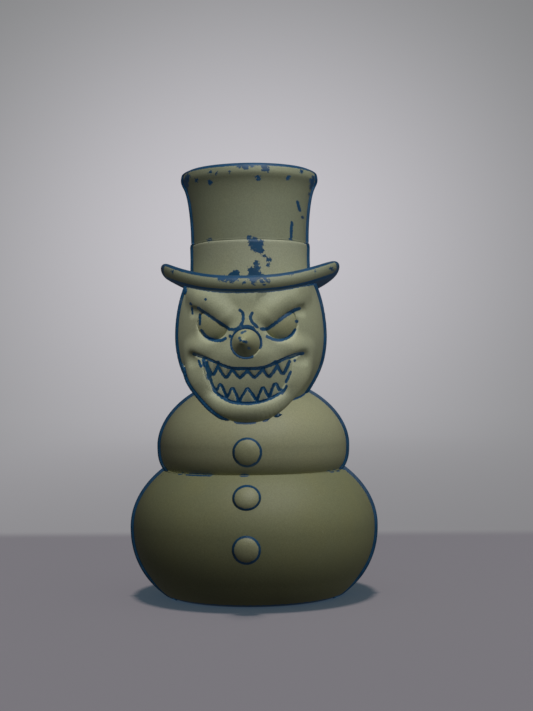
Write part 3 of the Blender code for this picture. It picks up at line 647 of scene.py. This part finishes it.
# ---------------------------------------------------------------- materials
class Nodes:
    """Short hands for building a node tree."""

    def __init__(self, material):
        self.tree = material.node_tree
        self.tree.nodes.clear()

    def make(self, kind, **values):
        node = self.tree.nodes.new(kind)
        for key, value in values.items():
            if hasattr(node, key):
                setattr(node, key, value)
            else:
                node.inputs[key.replace("_", " ")].default_value = value
        return node

    def join(self, source, target):
        self.tree.links.new(source, target)

    def math(self, operation, a, b=None, c=None, clamp=False):
        node = self.tree.nodes.new("ShaderNodeMath")
        node.operation = operation
        node.use_clamp = clamp
        for socket, value in zip(node.inputs, (a, b, c)):
            if value is None:
                continue
            if isinstance(value, (int, float)):
                socket.default_value = value
            else:
                self.join(value, socket)
        return node.outputs[0]

    def noise(self, vector, scale, detail=2.0, roughness=0.5, distortion=0.0):
        node = self.make("ShaderNodeTexNoise")
        node.inputs["Scale"].default_value = scale
        node.inputs["Detail"].default_value = detail
        node.inputs["Roughness"].default_value = roughness
        node.inputs["Distortion"].default_value = distortion
        self.join(vector, node.inputs["Vector"])
        return node.outputs["Fac"]

    def ramp(self, value, low, high, to_low=0.0, to_high=1.0):
        node = self.make("ShaderNodeMapRange")
        node.interpolation_type = "SMOOTHSTEP"
        self.join(value, node.inputs["Value"])
        node.inputs["From Min"].default_value, node.inputs["From Max"].default_value = low, high
        node.inputs["To Min"].default_value, node.inputs["To Max"].default_value = to_low, to_high
        return node.outputs["Result"]

    def mix(self, factor, a, b, blend="MIX"):
        node = self.make("ShaderNodeMix", data_type="RGBA")
        node.blend_type = blend
        for socket, value in ((node.inputs["Factor"], factor), (node.inputs["A"], a), (node.inputs["B"], b)):
            pass
        sockets = {"f": node.inputs[0], "a": node.inputs[6], "b": node.inputs[7]}
        for key, value in (("f", factor), ("a", a), ("b", b)):
            if isinstance(value, (int, float)):
                sockets[key].default_value = value
            elif isinstance(value, tuple):
                sockets[key].default_value = (*value, 1.0)
            else:
                self.join(value, sockets[key])
        return node.outputs[2]


INK = (0.0056, 0.0430, 0.0980)


def painted(name, light, dark, warm, splashes=False, rough=0.52, grime=0.0):
    """Satin moulded plastic with slight tint drift and fine grain, and dark blue hand-painted lines where the mesh says
    so; the lines are painted lighter where they face down, painted light standing in for light from below.
    """
    material = bpy.data.materials.new(name)
    material.use_nodes = True
    n = Nodes(material)
    place = n.make("ShaderNodeTexCoord").outputs["Object"]
    drift = n.noise(place, 38.0, 2.0, 0.45)
    patch = n.noise(place, 120.0, 3.0, 0.55, 0.4)
    grain = n.noise(place, 2600.0, 2.0, 0.6)
    fleck = n.noise(place, 900.0, 3.0, 0.65)
    colour = n.mix(n.ramp(drift, 0.32, 0.68), dark, light)
    colour = n.mix(n.math("MULTIPLY", n.ramp(patch, 0.35, 0.75), 0.35), colour, warm)
    colour = n.mix(n.math("MULTIPLY", n.ramp(grain, 0.3, 0.7), 0.16), colour, (0.02, 0.02, 0.01))
    colour = n.mix(n.math("MULTIPLY", n.ramp(fleck, 0.62, 0.8), 0.18), colour, (0.42, 0.42, 0.30))
    ink = n.make("ShaderNodeAttribute", attribute_name="ink").outputs["Fac"]
    edge = n.noise(place, 1500.0, 2.0, 0.6)
    line = n.math("ADD", ink, n.math("MULTIPLY", n.math("SUBTRACT", edge, 0.5), 0.5))
    mask = n.ramp(line, -0.07, 0.07, 1.0, 0.0)
    if splashes:
        blot = n.make("ShaderNodeAttribute", attribute_name="blot").outputs["Fac"]
        ragged = n.noise(place, 1250.0, 4.0, 0.7, 0.2)
        spot = n.ramp(n.math("ADD", blot, n.math("MULTIPLY", n.math("SUBTRACT", ragged, 0.5), 3.0)), -0.06, 0.06, 1.0, 0.0)
        mask = n.math("MAXIMUM", mask, spot)
    worn = n.math("MULTIPLY", mask, n.ramp(n.noise(place, 500.0, 3.0, 0.6), 0.22, 0.42, 0.82, 1.0))
    ink_colour = n.mix(n.ramp(n.noise(place, 300.0, 2.0), 0.3, 0.7), INK, (0.0085, 0.0570, 0.1300))
    tilt = n.make("ShaderNodeSeparateXYZ")
    n.join(n.make("ShaderNodeNewGeometry").outputs["Normal"], tilt.inputs[0])
    ink_colour = n.mix(n.ramp(tilt.outputs[2], -0.15, -0.85), ink_colour, (0.020, 0.115, 0.290))      # painted light: the lines are lighter where the surface faces down, standing in for light from below
    colour = n.mix(worn, colour, ink_colour)
    shader = n.make("ShaderNodeBsdfPrincipled")
    n.join(colour, shader.inputs["Base Color"])
    shader.inputs["IOR"].default_value = 1.45
    shader.inputs["Specular IOR Level"].default_value = 0.35
    gloss = n.math("ADD", n.math("MULTIPLY", n.noise(place, 420.0, 3.0), 0.16), rough - 0.08)
    gloss = n.math("SUBTRACT", gloss, n.math("MULTIPLY", worn, 0.10))
    n.join(gloss, shader.inputs["Roughness"])
    height = n.math("ADD", n.math("MULTIPLY", grain, 0.35), n.math("MULTIPLY", n.noise(place, 700.0, 3.0, 0.55), 0.9))
    height = n.math("ADD", height, n.math("MULTIPLY", worn, 0.9))
    bump = n.make("ShaderNodeBump")
    bump.inputs["Strength"].default_value = 0.22
    bump.inputs["Distance"].default_value = 0.00006
    n.join(height, bump.inputs["Height"])
    n.join(bump.outputs["Normal"], shader.inputs["Normal"])
    out = n.make("ShaderNodeOutputMaterial")
    n.join(shader.outputs["BSDF"], out.inputs["Surface"])
    return material


# one olive in lighter and darker copies, piece by piece, set to how light falls on each: painted light and shade,
# darkest on the base and the hat, lightest on the head, the band and the teeth
head_paint = painted("head_olive", (0.325, 0.342, 0.226), (0.300, 0.316, 0.214), (0.338, 0.340, 0.208))
middle_paint = painted("middle_olive", (0.306, 0.310, 0.190), (0.283, 0.287, 0.178), (0.318, 0.308, 0.174))
base_paint = painted("base_olive", (0.203, 0.210, 0.112), (0.186, 0.194, 0.105), (0.216, 0.212, 0.098))
hat_paint = painted("hat_olive", (0.222, 0.240, 0.160), (0.203, 0.221, 0.150), (0.230, 0.236, 0.143), True)
band_paint = painted("band_olive", (0.322, 0.338, 0.240), (0.296, 0.312, 0.223), (0.328, 0.331, 0.216), True)
trim_paint = painted("trim_olive", (0.262, 0.268, 0.158), (0.242, 0.248, 0.148), (0.270, 0.264, 0.142), rough=0.48)
teeth_paint = painted("teeth_olive", (0.330, 0.346, 0.236), (0.304, 0.320, 0.222), (0.334, 0.336, 0.212), rough=0.46)


PIECES = []


def dress(obj, material, node, ink=None, blot=None):
    PIECES.append(obj)
    obj.data.materials.append(material)
    p = positions(obj)
    attribute(obj, "ink", np.full(len(p), 9.0) if ink is None else ink)
    attribute(obj, "blot", np.full(len(p), 9.0) if blot is None else blot)
    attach(obj, "root")
    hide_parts(node)


def rim(p, centre, inset, front_of):
    """Distance past a line drawn just inside the outline that the points make from the photograph's viewpoint, around centre."""
    q = seen(p) - np.asarray(centre)
    r, a = np.hypot(q[:, 0], q[:, 1]), np.arctan2(q[:, 1], q[:, 0])
    bins = 180
    spot = ((a + math.pi) / (2 * math.pi) * bins).astype(int) % bins
    edge = np.zeros(bins)
    np.maximum.at(edge, spot, r)
    edge = np.maximum.reduce((edge, np.roll(edge, 1), np.roll(edge, -1)))
    edge = (edge + np.roll(edge, 1) + np.roll(edge, -1)) / 3
    at = (a + math.pi) / (2 * math.pi) * bins - 0.5
    low = np.floor(at).astype(int)
    outer = edge[low % bins] * (1 - (at - low)) + edge[(low + 1) % bins] * (at - low)
    return np.where(p[:, 1] < front_of, outer - r - inset, 9.0)


# ---------------------------------------------------------------- balls
def ball_profile(radius, z_top, z_low, rows, top_edge=None, low_edge=None):
    t = np.linspace(0, 1, rows)
    z = z_top + (z_low - z_top) * (0.5 - 0.5 * np.cos(math.pi * t)) if top_edge is None else z_top + (z_low - z_top) * t
    return [(float(radius(v)), float(v)) for v in z]


# base: flat foot, round shoulder up to the crease
rows = [(r - SLIM * (0.3 + 0.7 * eased(z, 0.0, 7.0)), z) for r, z in ball_profile(base_radius, CREASE_Z, 0.5, 110)]
foot = float(base_radius(0.0)) - SLIM * 0.3
profile = [(0.0, CREASE_Z - 0.02), (14.0, CREASE_Z - 0.02), (rows[0][0] - 0.4, CREASE_Z - 0.02)] + rows + [(foot - 0.12, 0.22), (foot - 0.55, 0.03), (foot - 1.3, 0.0), (12.0, 0.0), (0.0, 0.0)]
base, bead = seamed("base_ball_visual", profile, 288, lambda z: SEAM_H * (0.3 + 0.7 * eased(z, 0.0, 7.0)) * (0.3 < z < CREASE_Z))
p = positions(base)
rho = np.hypot(p[:, 0], p[:, 1])
angle = np.arctan2(p[:, 0], -p[:, 1])                      # 0 at the front, positive to +X
DASHES = [(deg(-49.5), deg(-47.5)), (deg(-42), deg(-23.5)), (deg(-4), deg(-0.5)), (deg(59.5), deg(62.5)), (deg(68), deg(72)), (deg(84), deg(118)), (deg(130), deg(200)), (deg(214), deg(276))]
crease = np.where(p[:, 2] > 30, np.hypot(rho - rows[0][0], (p[:, 2] - CREASE_Z)) - 0.55, 9.0) + gapped(angle, DASHES)
under = np.where(p[:, 2] < 6, p[:, 2] - 0.8, 9.0)
BUTTON_SEATS = []
for name, z, tilt, radius, half in BUTTONS:
    r = float(middle_radius(z)) if z > CREASE_Z else float(base_radius(z))
    e = deg(tilt)
    BUTTON_SEATS.append((name, np.array((0.0, -r + 0.2, z)), np.array((0.0, -math.cos(e), math.sin(e))), radius, half))


dress(base, base_paint, "base_ball", np.minimum.reduce((crease, under, bead)))

# middle ball, whose top the head sits in
rows = [(max(r - SLIM, 0.3), z) for r, z in ball_profile(middle_radius, MID_Z + MID_UP - 0.05, CREASE_Z + 0.02, 130)]
profile = [(0.0, MID_Z + MID_UP)] + rows + [(rows[-1][0] - 0.4, CREASE_Z + 0.02), (12.0, CREASE_Z + 0.02), (0.0, CREASE_Z + 0.02)]
middle, bead = seamed("middle_ball_visual", profile, 256, lambda z: SEAM_H * (z < 64))
p = positions(middle)
rho = np.hypot(p[:, 0], p[:, 1])
angle = np.arctan2(p[:, 0], -p[:, 1])
crease = np.where(p[:, 2] < 45, np.hypot(rho - rows[-1][0], (p[:, 2] - CREASE_Z)) - 0.55, 9.0) + gapped(angle, DASHES)
seat = np.full(len(p), 9.0)
high = p[:, 2] > 48
seat[high] = head_slim(p[high]) - 0.5
seat = seat + gapped(seen_angle(p)[0], CHIN_SPANS)
dress(middle, middle_paint, "middle_ball", np.minimum.reduce((crease, seat, bead)))

# ---------------------------------------------------------------- head
verts, quads = surface_net(head_form, (-25.2, -32.0, 50.0), (25.2, 18.6, 101.0), 0.36)
head = new_piece("head_visual", verts, quads)
p = positions(head)
marks = stroke_distance(p, STROKES, -13.0)
chin = np.full(len(p), 9.0)
low = (p[:, 2] < 68)
q = p[low]
chin[low] = (np.hypot(q[:, 0], q[:, 1]) - middle_radius(q[:, 2]) + SLIM) * 0.8 - 0.45
gap = gapped(seen_angle(p)[0], CHIN_SPANS)
edge = on_side(p, 0.6, 0.25)
side = np.flatnonzero((edge > 0) & (above_seat(p) > 0.1))
bead = np.full(len(p), 9.0)
bead[side] = off_outline(p[side]) - SEAM_W - 0.5 + 0.4 * (1 - edge[side])
chin = np.minimum(chin, bead) + gap
x, y = p[:, 0], p[:, 1] - HAT_Y
under_hat = BRIM_Z - BRIM_PLATE + hat_curl(x, y, np.full(len(p), 92.0)) - p[:, 2] - 0.8
dress(head, head_paint, "head", np.minimum.reduce((marks, chin, under_hat)))


# ---------------------------------------------------------------- nose
def nose_axis(obj):
    obj.data.transform(Matrix.Translation((0, 0, NOSE_Z * MM)) @ Matrix.Rotation(math.radians(90), 4, "X"))


smooth = resample(NOSE_PROFILE[1:], 44)
nose = turned("nose_visual", np.vstack(((0.0, 44.4), (0.22, 44.36), smooth, (0.0, 26.4))), 72)
nose_axis(nose)
p = positions(nose)
tip = [(-1.0, 77.6, 0.5), (-0.6, 76.9, 0.42), (0.3, 76.6, 0.35), (0.95, 76.4, 0.42), (1.4, 74.8, 0.4), (-0.6, 79.3, 0.5), (0.1, 79.7, 0.4)]
dabs = np.full(len(p), 9.0)
for x, z, r in tip:
    dabs = np.minimum(dabs, np.hypot(p[:, 0] - x, p[:, 2] - z) - r)
root = np.where(p[:, 1] > -30.5, stroke_distance(p, STROKES, -13.0), 9.0)
dress(nose, trim_paint, "nose", np.minimum(dabs, root))


# ---------------------------------------------------------------- buttons and eyes
def dome(name, centre, axis, side, radius, half, flat=1.0, back=0.35, rows=40, steps=96):
    """A low domed disc: full ellipsoid in front, shallow behind."""
    t = np.linspace(0, math.pi, rows)
    r = radius * np.sin(t) ** flat
    h = np.where(t < math.pi / 2, half * np.cos(t), half * back * np.cos(t))
    profile = np.stack((r, h), axis=1)
    profile[0, 0] = profile[-1, 0] = 0.0
    obj = turned(name, profile, steps)
    up = Vector(axis)
    across = Vector(side)
    third = up.cross(across)
    turn = Matrix((across, third, up)).transposed().to_4x4()
    obj.data.transform(Matrix.Translation(Vector(centre) * MM) @ turn)
    return obj


for name, centre, axis, radius, half in BUTTON_SEATS:
    piece = dome(name + "_visual", centre, axis, (1, 0, 0), radius, half, 0.94)
    p = positions(piece)
    middle_of = seen(p)
    ring = rim(p, (middle_of.min(axis=0) + middle_of.max(axis=0)) / 2, 0.76, float(p[:, 1].max()) + 1)
    dress(piece, trim_paint, name, ring)

for side, name in ((1, "eye_left"), (-1, "eye_right")):
    turn = deg(EYE_TURN) * side
    t = np.linspace(0, math.pi, 48)
    profile = np.stack((np.sin(t), np.cos(t)), axis=1)
    profile[0, 0] = profile[-1, 0] = 0
    piece = turned(name + "_visual", profile, 96)
    scale = Matrix.Diagonal((EYE_R[0], EYE_R[1], EYE_R[2], 1)) @ Matrix.Rotation(math.radians(90), 4, "X")
    place = Matrix.Translation(Vector((EYE_C[0] * side, EYE_C[1], EYE_C[2])) * MM)
    piece.data.transform(place @ Matrix.Rotation(turn, 4, "Z") @ scale)
    p = positions(piece)
    dress(piece, trim_paint, name, stroke_distance(p, STROKES, -13.0))


# ---------------------------------------------------------------- teeth
def wall_y(x, z):
    share = 1 - ((x - WALL_C[0]) / WALL_R[0]) ** 2 - ((z - WALL_C[2]) / WALL_R[2]) ** 2
    return WALL_C[1] - WALL_R[1] * np.sqrt(np.maximum(share, 0.0))


def tooth(name, x, half, root, tip, rows=26, steps=40):
    """A pointed wedge with a rounded ridge, standing on the back wall of the mouth."""
    t = np.linspace(0, 1, rows)
    z = root + (tip - root) * t
    width = half * 1.06 * np.clip(1 - t, 0, 1) ** 0.62 * (0.78 + 0.22 * (1 - t))
    depth = 1.55 * (1 - 0.55 * t ** 1.5) * np.clip((1 - t) / 0.08, 0, 1) ** 0.5
    a = np.arange(steps) / steps * 2 * math.pi
    ca, sa = np.cos(a), np.sin(a)
    lean = x / 18.5 * 0.85
    nx, ny = math.sin(math.asin(lean)), -math.cos(math.asin(lean))
    rings = []
    for zi, w, d in zip(z[:-1], width[:-1], depth[:-1]):
        along = np.sign(ca) * np.abs(ca) ** 0.9 * w
        out = np.where(sa > 0, np.abs(sa) ** 1.25 * d, -np.abs(sa) * 0.2)
        rings.append(np.stack((x + along * -ny + out * nx, wall_y(x, zi) + along * nx + out * ny, np.full(steps, zi)), axis=1))
    verts = np.vstack(((x, wall_y(x, root) - 0.5, root), *rings, (x + nx * 0.3, wall_y(x, tip) + ny * 0.3, tip)))
    j = np.arange(steps)
    k = (j + 1) % steps
    m = len(rings)
    i = np.arange(m - 1)[:, None] * steps + 1
    quads = np.stack((i + j, i + steps + j, i + steps + k, i + k), axis=-1).reshape(-1, 4)
    last = 1 + (m - 1) * steps
    tris = np.vstack((np.stack((np.zeros(steps, int), 1 + j, 1 + k), axis=1), np.stack((np.full(steps, len(verts) - 1), last + k, last + j), axis=1)))
    if root > tip:
        quads, tris = quads[:, ::-1], tris[:, ::-1]
    quads, tris = quads[:, ::-1], tris[:, ::-1]
    return new_piece(name, verts, quads, tris)


rows = []
for x, half, tip in UPPER_TEETH:
    rows += [("upper", s * x, half, float(lip_height(x)) + 0.5, tip - 0.15) for s in (-1, 1)]
for x, half, tip in LOWER_TEETH:
    foot = MOUTH_MID_Z - 0.9 - (MOUTH_B - 0.9) * (1 - (x / MOUTH_A) ** MOUTH_N) ** (1 / MOUTH_N)
    rows += [("lower", s * x, half, foot - 0.4, tip + 0.15) for s in ((-1, 1) if x else (1,))]
counts = {"upper": 0, "lower": 0}
for row, x, half, root, tip in sorted(rows):
    counts[row] += 1
    node = f"tooth_{row}_{counts[row]}"
    piece = tooth(node + "_visual", x, half, root, tip)
    dress(piece, teeth_paint, node, stroke_distance(positions(piece), STROKES, -13.0))


# ---------------------------------------------------------------- hat
def arc(cx, cz, r, start, end, count):
    return [(cx + r * math.cos(t), cz + r * math.sin(t)) for t in np.radians(np.linspace(start, end, count))]


edge_x = BRIM_R - BRIM_EDGE
lip = resample([(17.9, HAT_TOP), (18.9, 129.45), (19.7, 129.0), (20.25, 128.3), (20.45, 127.4), (20.42, 126.6), (20.1, 125.8), (19.6, 124.9), (19.1, 123.7), (18.6, 122.0), (18.2, 120.1), (17.85, 117.6), (17.55, 114.5), (17.38, 111.5), (17.32, 109.3), (CROWN_R - 0.02, BAND_TOP + 0.02)], 80)
lip[:-1, 0] -= 0.16 * eased(HAT_TOP - lip[:-1, 1], 0.3, 1.5)
profile = [(0.0, HAT_TOP), (6.0, HAT_TOP), (12.0, HAT_TOP), (16.3, HAT_TOP), (17.3, HAT_TOP)] + lip.tolist()
profile += [(CROWN_R - 0.7, BAND_TOP - 0.02), (CROWN_R - 0.7, 101.0), (CROWN_R - 0.7, BRIM_Z + BRIM_PLATE + 0.02), (19.0, BRIM_Z + BRIM_PLATE), (20.6, BRIM_Z + BRIM_PLATE + 0.03), (22.4, BRIM_Z + BRIM_PLATE + 0.22), (23.8, BRIM_Z + BRIM_PLATE + 0.56)]
profile += arc(edge_x, BRIM_Z, BRIM_EDGE, 88, -88, 34)
profile += [(23.6, BRIM_Z - BRIM_PLATE - 0.55), (22.0, BRIM_Z - BRIM_PLATE - 0.2), (19.5, BRIM_Z - BRIM_PLATE - 0.06), (17.0, BRIM_Z - BRIM_PLATE), (8.0, BRIM_Z - BRIM_PLATE), (0.0, BRIM_Z - BRIM_PLATE)]
hat, bead = seamed("hat_visual", profile, 256, lambda z: float(np.interp(z, (107.16, 107.18, 120.0, 125.0, 128.4, 129.3), (0.0, 0.88, 0.88, 0.78, 0.6, 0.0))), centre_y=HAT_Y)


def bend(obj):
    co = positions(obj)
    co[:, 2] += hat_curl(co[:, 0], co[:, 1], co[:, 2])
    co[:, 1] += HAT_Y
    obj.data.vertices.foreach_set("co", (co * MM).astype(np.float32).ravel())
    obj.data.update()


p = positions(hat)
rho = np.hypot(p[:, 0], p[:, 1])
angle = np.arctan2(p[:, 0], -p[:, 1])
roll = np.degrees(np.arctan2(p[:, 2] - BRIM_Z, rho - edge_x))
on_brim = (p[:, 2] < 97) & (rho > 20)
upper = np.where(on_brim, (np.abs(roll - 69) - 32) * deg(1) * BRIM_EDGE, 9.0)
plate = (p[:, 2] > 94.9) & (p[:, 2] < 97) & (rho < 24.7) | (p[:, 2] > 129.3) & (rho < 17.6)
lower = np.where(on_brim, (np.abs(roll + 78) - 37) * deg(1) * BRIM_EDGE, 9.0)
beneath = np.where((p[:, 2] < BRIM_Z - 1.6) & (rho > 15.0), -0.6, 9.0)
ends = np.where(on_brim, np.abs(np.abs(angle - deg(3.5)) - deg(86.1)) * BRIM_R - 7.0 + np.abs(roll - 10) * 0.008 + 9.0 * (rho < 24.7), 9.0)
top = np.where((p[:, 2] > 127.5) & (rho > 17.0), 128.45 - p[:, 2], 9.0)
bend(hat)
p = positions(hat)
ink = np.minimum.reduce((upper, lower, beneath, ends, top, bead, stroke_distance(p, HAT_STROKES, -6.0)))
dress(hat, hat_paint, "hat", ink, np.where(plate, 9.0, blot_distance(p)))

foot = BRIM_Z + BRIM_PLATE + 0.05
wide = BAND_R - 0.42
outer = resample([(17.2, BAND_TOP), (17.35, BAND_TOP - 0.1), (wide - 0.05, BAND_TOP - 0.45), (wide, BAND_TOP - 0.9), (wide - 0.06, 102.5), (wide, foot + 1.0), (wide, foot)], 44)
band, bead = seamed("hat_band_visual", np.vstack(((0.0, BAND_TOP), (8.0, BAND_TOP), outer, (8.0, foot), (0.0, foot))), 256, lambda z: 0.86 if z < BAND_TOP - 0.02 else 0.0, centre_y=HAT_Y)
bend(band)
p = positions(band)
lowest = p[:, 2] - hat_curl(p[:, 0], p[:, 1] - HAT_Y, np.full(len(p), 95.5)) - (BRIM_Z + BRIM_PLATE + 0.75)
dress(band, band_paint, "hat_band", np.minimum.reduce((bead, lowest, stroke_distance(p, HAT_STROKES, -6.0))), blot_distance(p))

# ---------------------------------------------------------------- stage: one seamless pale floor that curves up into a wall all round; the wall shows a painted pool of light and the floor a faint painted blue fill
t = np.linspace(0, math.pi / 2, 24)
profile = [(0.0, 0.0)] + [(r, 0.0) for r in (0.1, 0.25, 0.5, 0.8, 1.1)] + [(1.1 + 0.5 * math.sin(v), 0.5 - 0.5 * math.cos(v)) for v in t[1:]] + [(1.6, 1.0), (1.6, 2.4)]
a = np.arange(96) / 96 * 2 * math.pi
ring = np.array(profile[1:]) / MM
verts = np.vstack(((0, 0, 0), np.stack((ring[:, :1] * np.cos(a), ring[:, :1] * np.sin(a), np.repeat(ring[:, 1:], 96, axis=1)), axis=-1).reshape(-1, 3)))
j = np.arange(96)
k = (j + 1) % 96
i = np.arange(len(ring) - 1)[:, None] * 96 + 1
quads = np.stack((i + j, i + 96 + j, i + 96 + k, i + k), axis=-1).reshape(-1, 4)
studio = new_piece("studio", verts, quads, np.stack((np.zeros(96, int), 1 + j, 1 + k), axis=1))
material = bpy.data.materials.new("studio_pale")
material.use_nodes = True
n = Nodes(material)
geometry = n.make("ShaderNodeNewGeometry")
split = n.make("ShaderNodeSeparateXYZ")
n.join(geometry.outputs["Position"], split.inputs[0])
x, y, z = split.outputs
away = n.math("SQRT", n.math("ADD", n.math("MULTIPLY", x, x), n.math("MULTIPLY", y, y)))
wall = n.math("MAXIMUM", n.ramp(y, 0.140, 0.168), n.ramp(away, 0.32, 0.60))
# painted pool of light on the wall: the glow is brightest round a point behind the figure, fades outwards, and is
# dimmed more the nearer it lies to the axis
dx = n.math("MULTIPLY", n.math("ADD", x, 0.10), 1 / 0.68)
dz = n.math("MULTIPLY", n.math("SUBTRACT", z, 0.28), 1 / 0.60)
far = n.math("SQRT", n.math("ADD", n.math("MULTIPLY", dx, dx), n.math("MULTIPLY", dz, dz)))
glow = n.mix(n.ramp(far, 0.0, 1.0), (0.572, 0.558, 0.592), (0.225, 0.228, 0.232))
depth = n.make("ShaderNodeMapRange")
n.join(away, depth.inputs["Value"])
for key_name, value in (("From Min", 0.2), ("From Max", 1.25), ("To Min", 0.66), ("To Max", 1.0)):
    depth.inputs[key_name].default_value = value
glow = n.mix(n.math("SUBTRACT", 1.0, depth.outputs["Result"]), glow, (0.0, 0.0, 0.0))
diffuse = n.make("ShaderNodeBsdfDiffuse")
diffuse.inputs["Color"].default_value = (0.60, 0.60, 0.62, 1)
# the floor glows faintly blue, a painted fill light that lifts the floor and its shadow; the wall takes no lamp light
# and shows only its painted glow
emit_floor = n.mix(wall, (0.024, 0.042, 0.062), glow)
emission = n.make("ShaderNodeEmission")
n.join(emit_floor, emission.inputs["Color"])
lit = n.mix(wall, (0.60, 0.60, 0.62), (0.0, 0.0, 0.0))
n.join(lit, diffuse.inputs["Color"])
both = n.make("ShaderNodeAddShader")
n.join(diffuse.outputs[0], both.inputs[0])
n.join(emission.outputs[0], both.inputs[1])
out = n.make("ShaderNodeOutputMaterial")
n.join(both.outputs[0], out.inputs["Surface"])
material.cycles.emission_sampling = "NONE"
studio.data.materials.append(material)
studio.visible_diffuse = False
studio.visible_glossy = False
studio.visible_shadow = False
studio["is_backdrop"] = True

# ---------------------------------------------------------------- lights
world = bpy.data.worlds.new("world")
scene.world = world
world.use_nodes = True
world.node_tree.nodes["Background"].inputs["Color"].default_value = (1.0, 1.0, 1.0, 1)
world.node_tree.nodes["Background"].inputs["Strength"].default_value = 0.055


def lamp(name, kind, at, energy, colour=(1, 1, 1), target=(0, -8, 75), size=0.1, shadow=True):
    data = bpy.data.lights.new(name, kind)
    data.energy = energy
    data.color = colour
    if kind == "AREA":
        data.shape = "DISK"
        data.size = size
    elif kind == "SUN":
        data.angle = size
    data.use_shadow = shadow
    obj = bpy.data.objects.new(name, data)
    scene.collection.objects.link(obj)
    obj.location = Vector(at) * MM
    obj.rotation_euler = (Vector(target) - Vector(at)).to_track_quat("-Z", "Y").to_euler()
    return obj


figure, floor = bpy.data.collections.new("figure"), bpy.data.collections.new("floor")
for obj in PIECES:
    figure.objects.link(obj)
floor.objects.link(studio)
lamp("overhead", "SUN", (0, 0, 900), 0.70, (1.0, 0.800, 0.765), (0, 0, 0), deg(8.0)).light_linking.receiver_collection = floor
key = lamp("key", "AREA", (63, -136, 279), 0.74, (1.0, 1.0, 0.99), (0, -10, 85), 0.30, shadow=False)
key.light_linking.receiver_collection = figure
key.visible_camera = False
face = bpy.data.collections.new("face")
for obj in PIECES:
    if obj.name.split("_")[0] in ("head", "eye", "nose", "tooth"):
        face.objects.link(obj)
crown = bpy.data.collections.new("crown")
for obj in PIECES:
    if obj.name.startswith("hat"):
        crown.objects.link(obj)
for name, at, watts, group in (("face_light", (-165, -145, 305), 1.16, face), ("left_fill", (-330, -120, 150), 0.30, crown),
                               ("right_fill", (340, 20, 60), 0.40, figure), ("back_light", (60, 380, 210), 1.5, figure)):
    fill = lamp(name, "POINT", at, watts, (1.0, 1.0, 0.99), shadow=False)
    fill.light_linking.receiver_collection = group
    fill.visible_glossy = False

# ---------------------------------------------------------------- camera: 404 mm in front of the figure, 66 mm above the floor
FOCAL_PX, FRAME_LONG = 1300.0, 711.0
pan, pitch, tilt = math.atan(14.1 / FOCAL_PX), math.atan(24.5 / FOCAL_PX), deg(-0.65)
camera_data = bpy.data.cameras.new("camera")
camera_data.lens = FOCAL_PX / FRAME_LONG * 36.0
camera_data.clip_start, camera_data.clip_end = 0.01, 20.0
camera = bpy.data.objects.new("camera", camera_data)
scene.collection.objects.link(camera)
look = Vector((-math.sin(AZIMUTH - pan) * math.cos(pitch), math.cos(AZIMUTH - pan) * math.cos(pitch), math.sin(pitch)))
camera.matrix_world = (Matrix.Translation(Vector(EYE) * MM)
                       @ look.to_track_quat("-Z", "Y").to_matrix().to_4x4() @ Matrix.Rotation(tilt, 4, "Z"))
scene.camera = camera
scene.view_settings.view_transform = "Standard"
scene.view_settings.look = "None"

bpy.context.view_layer.update()
low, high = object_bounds()
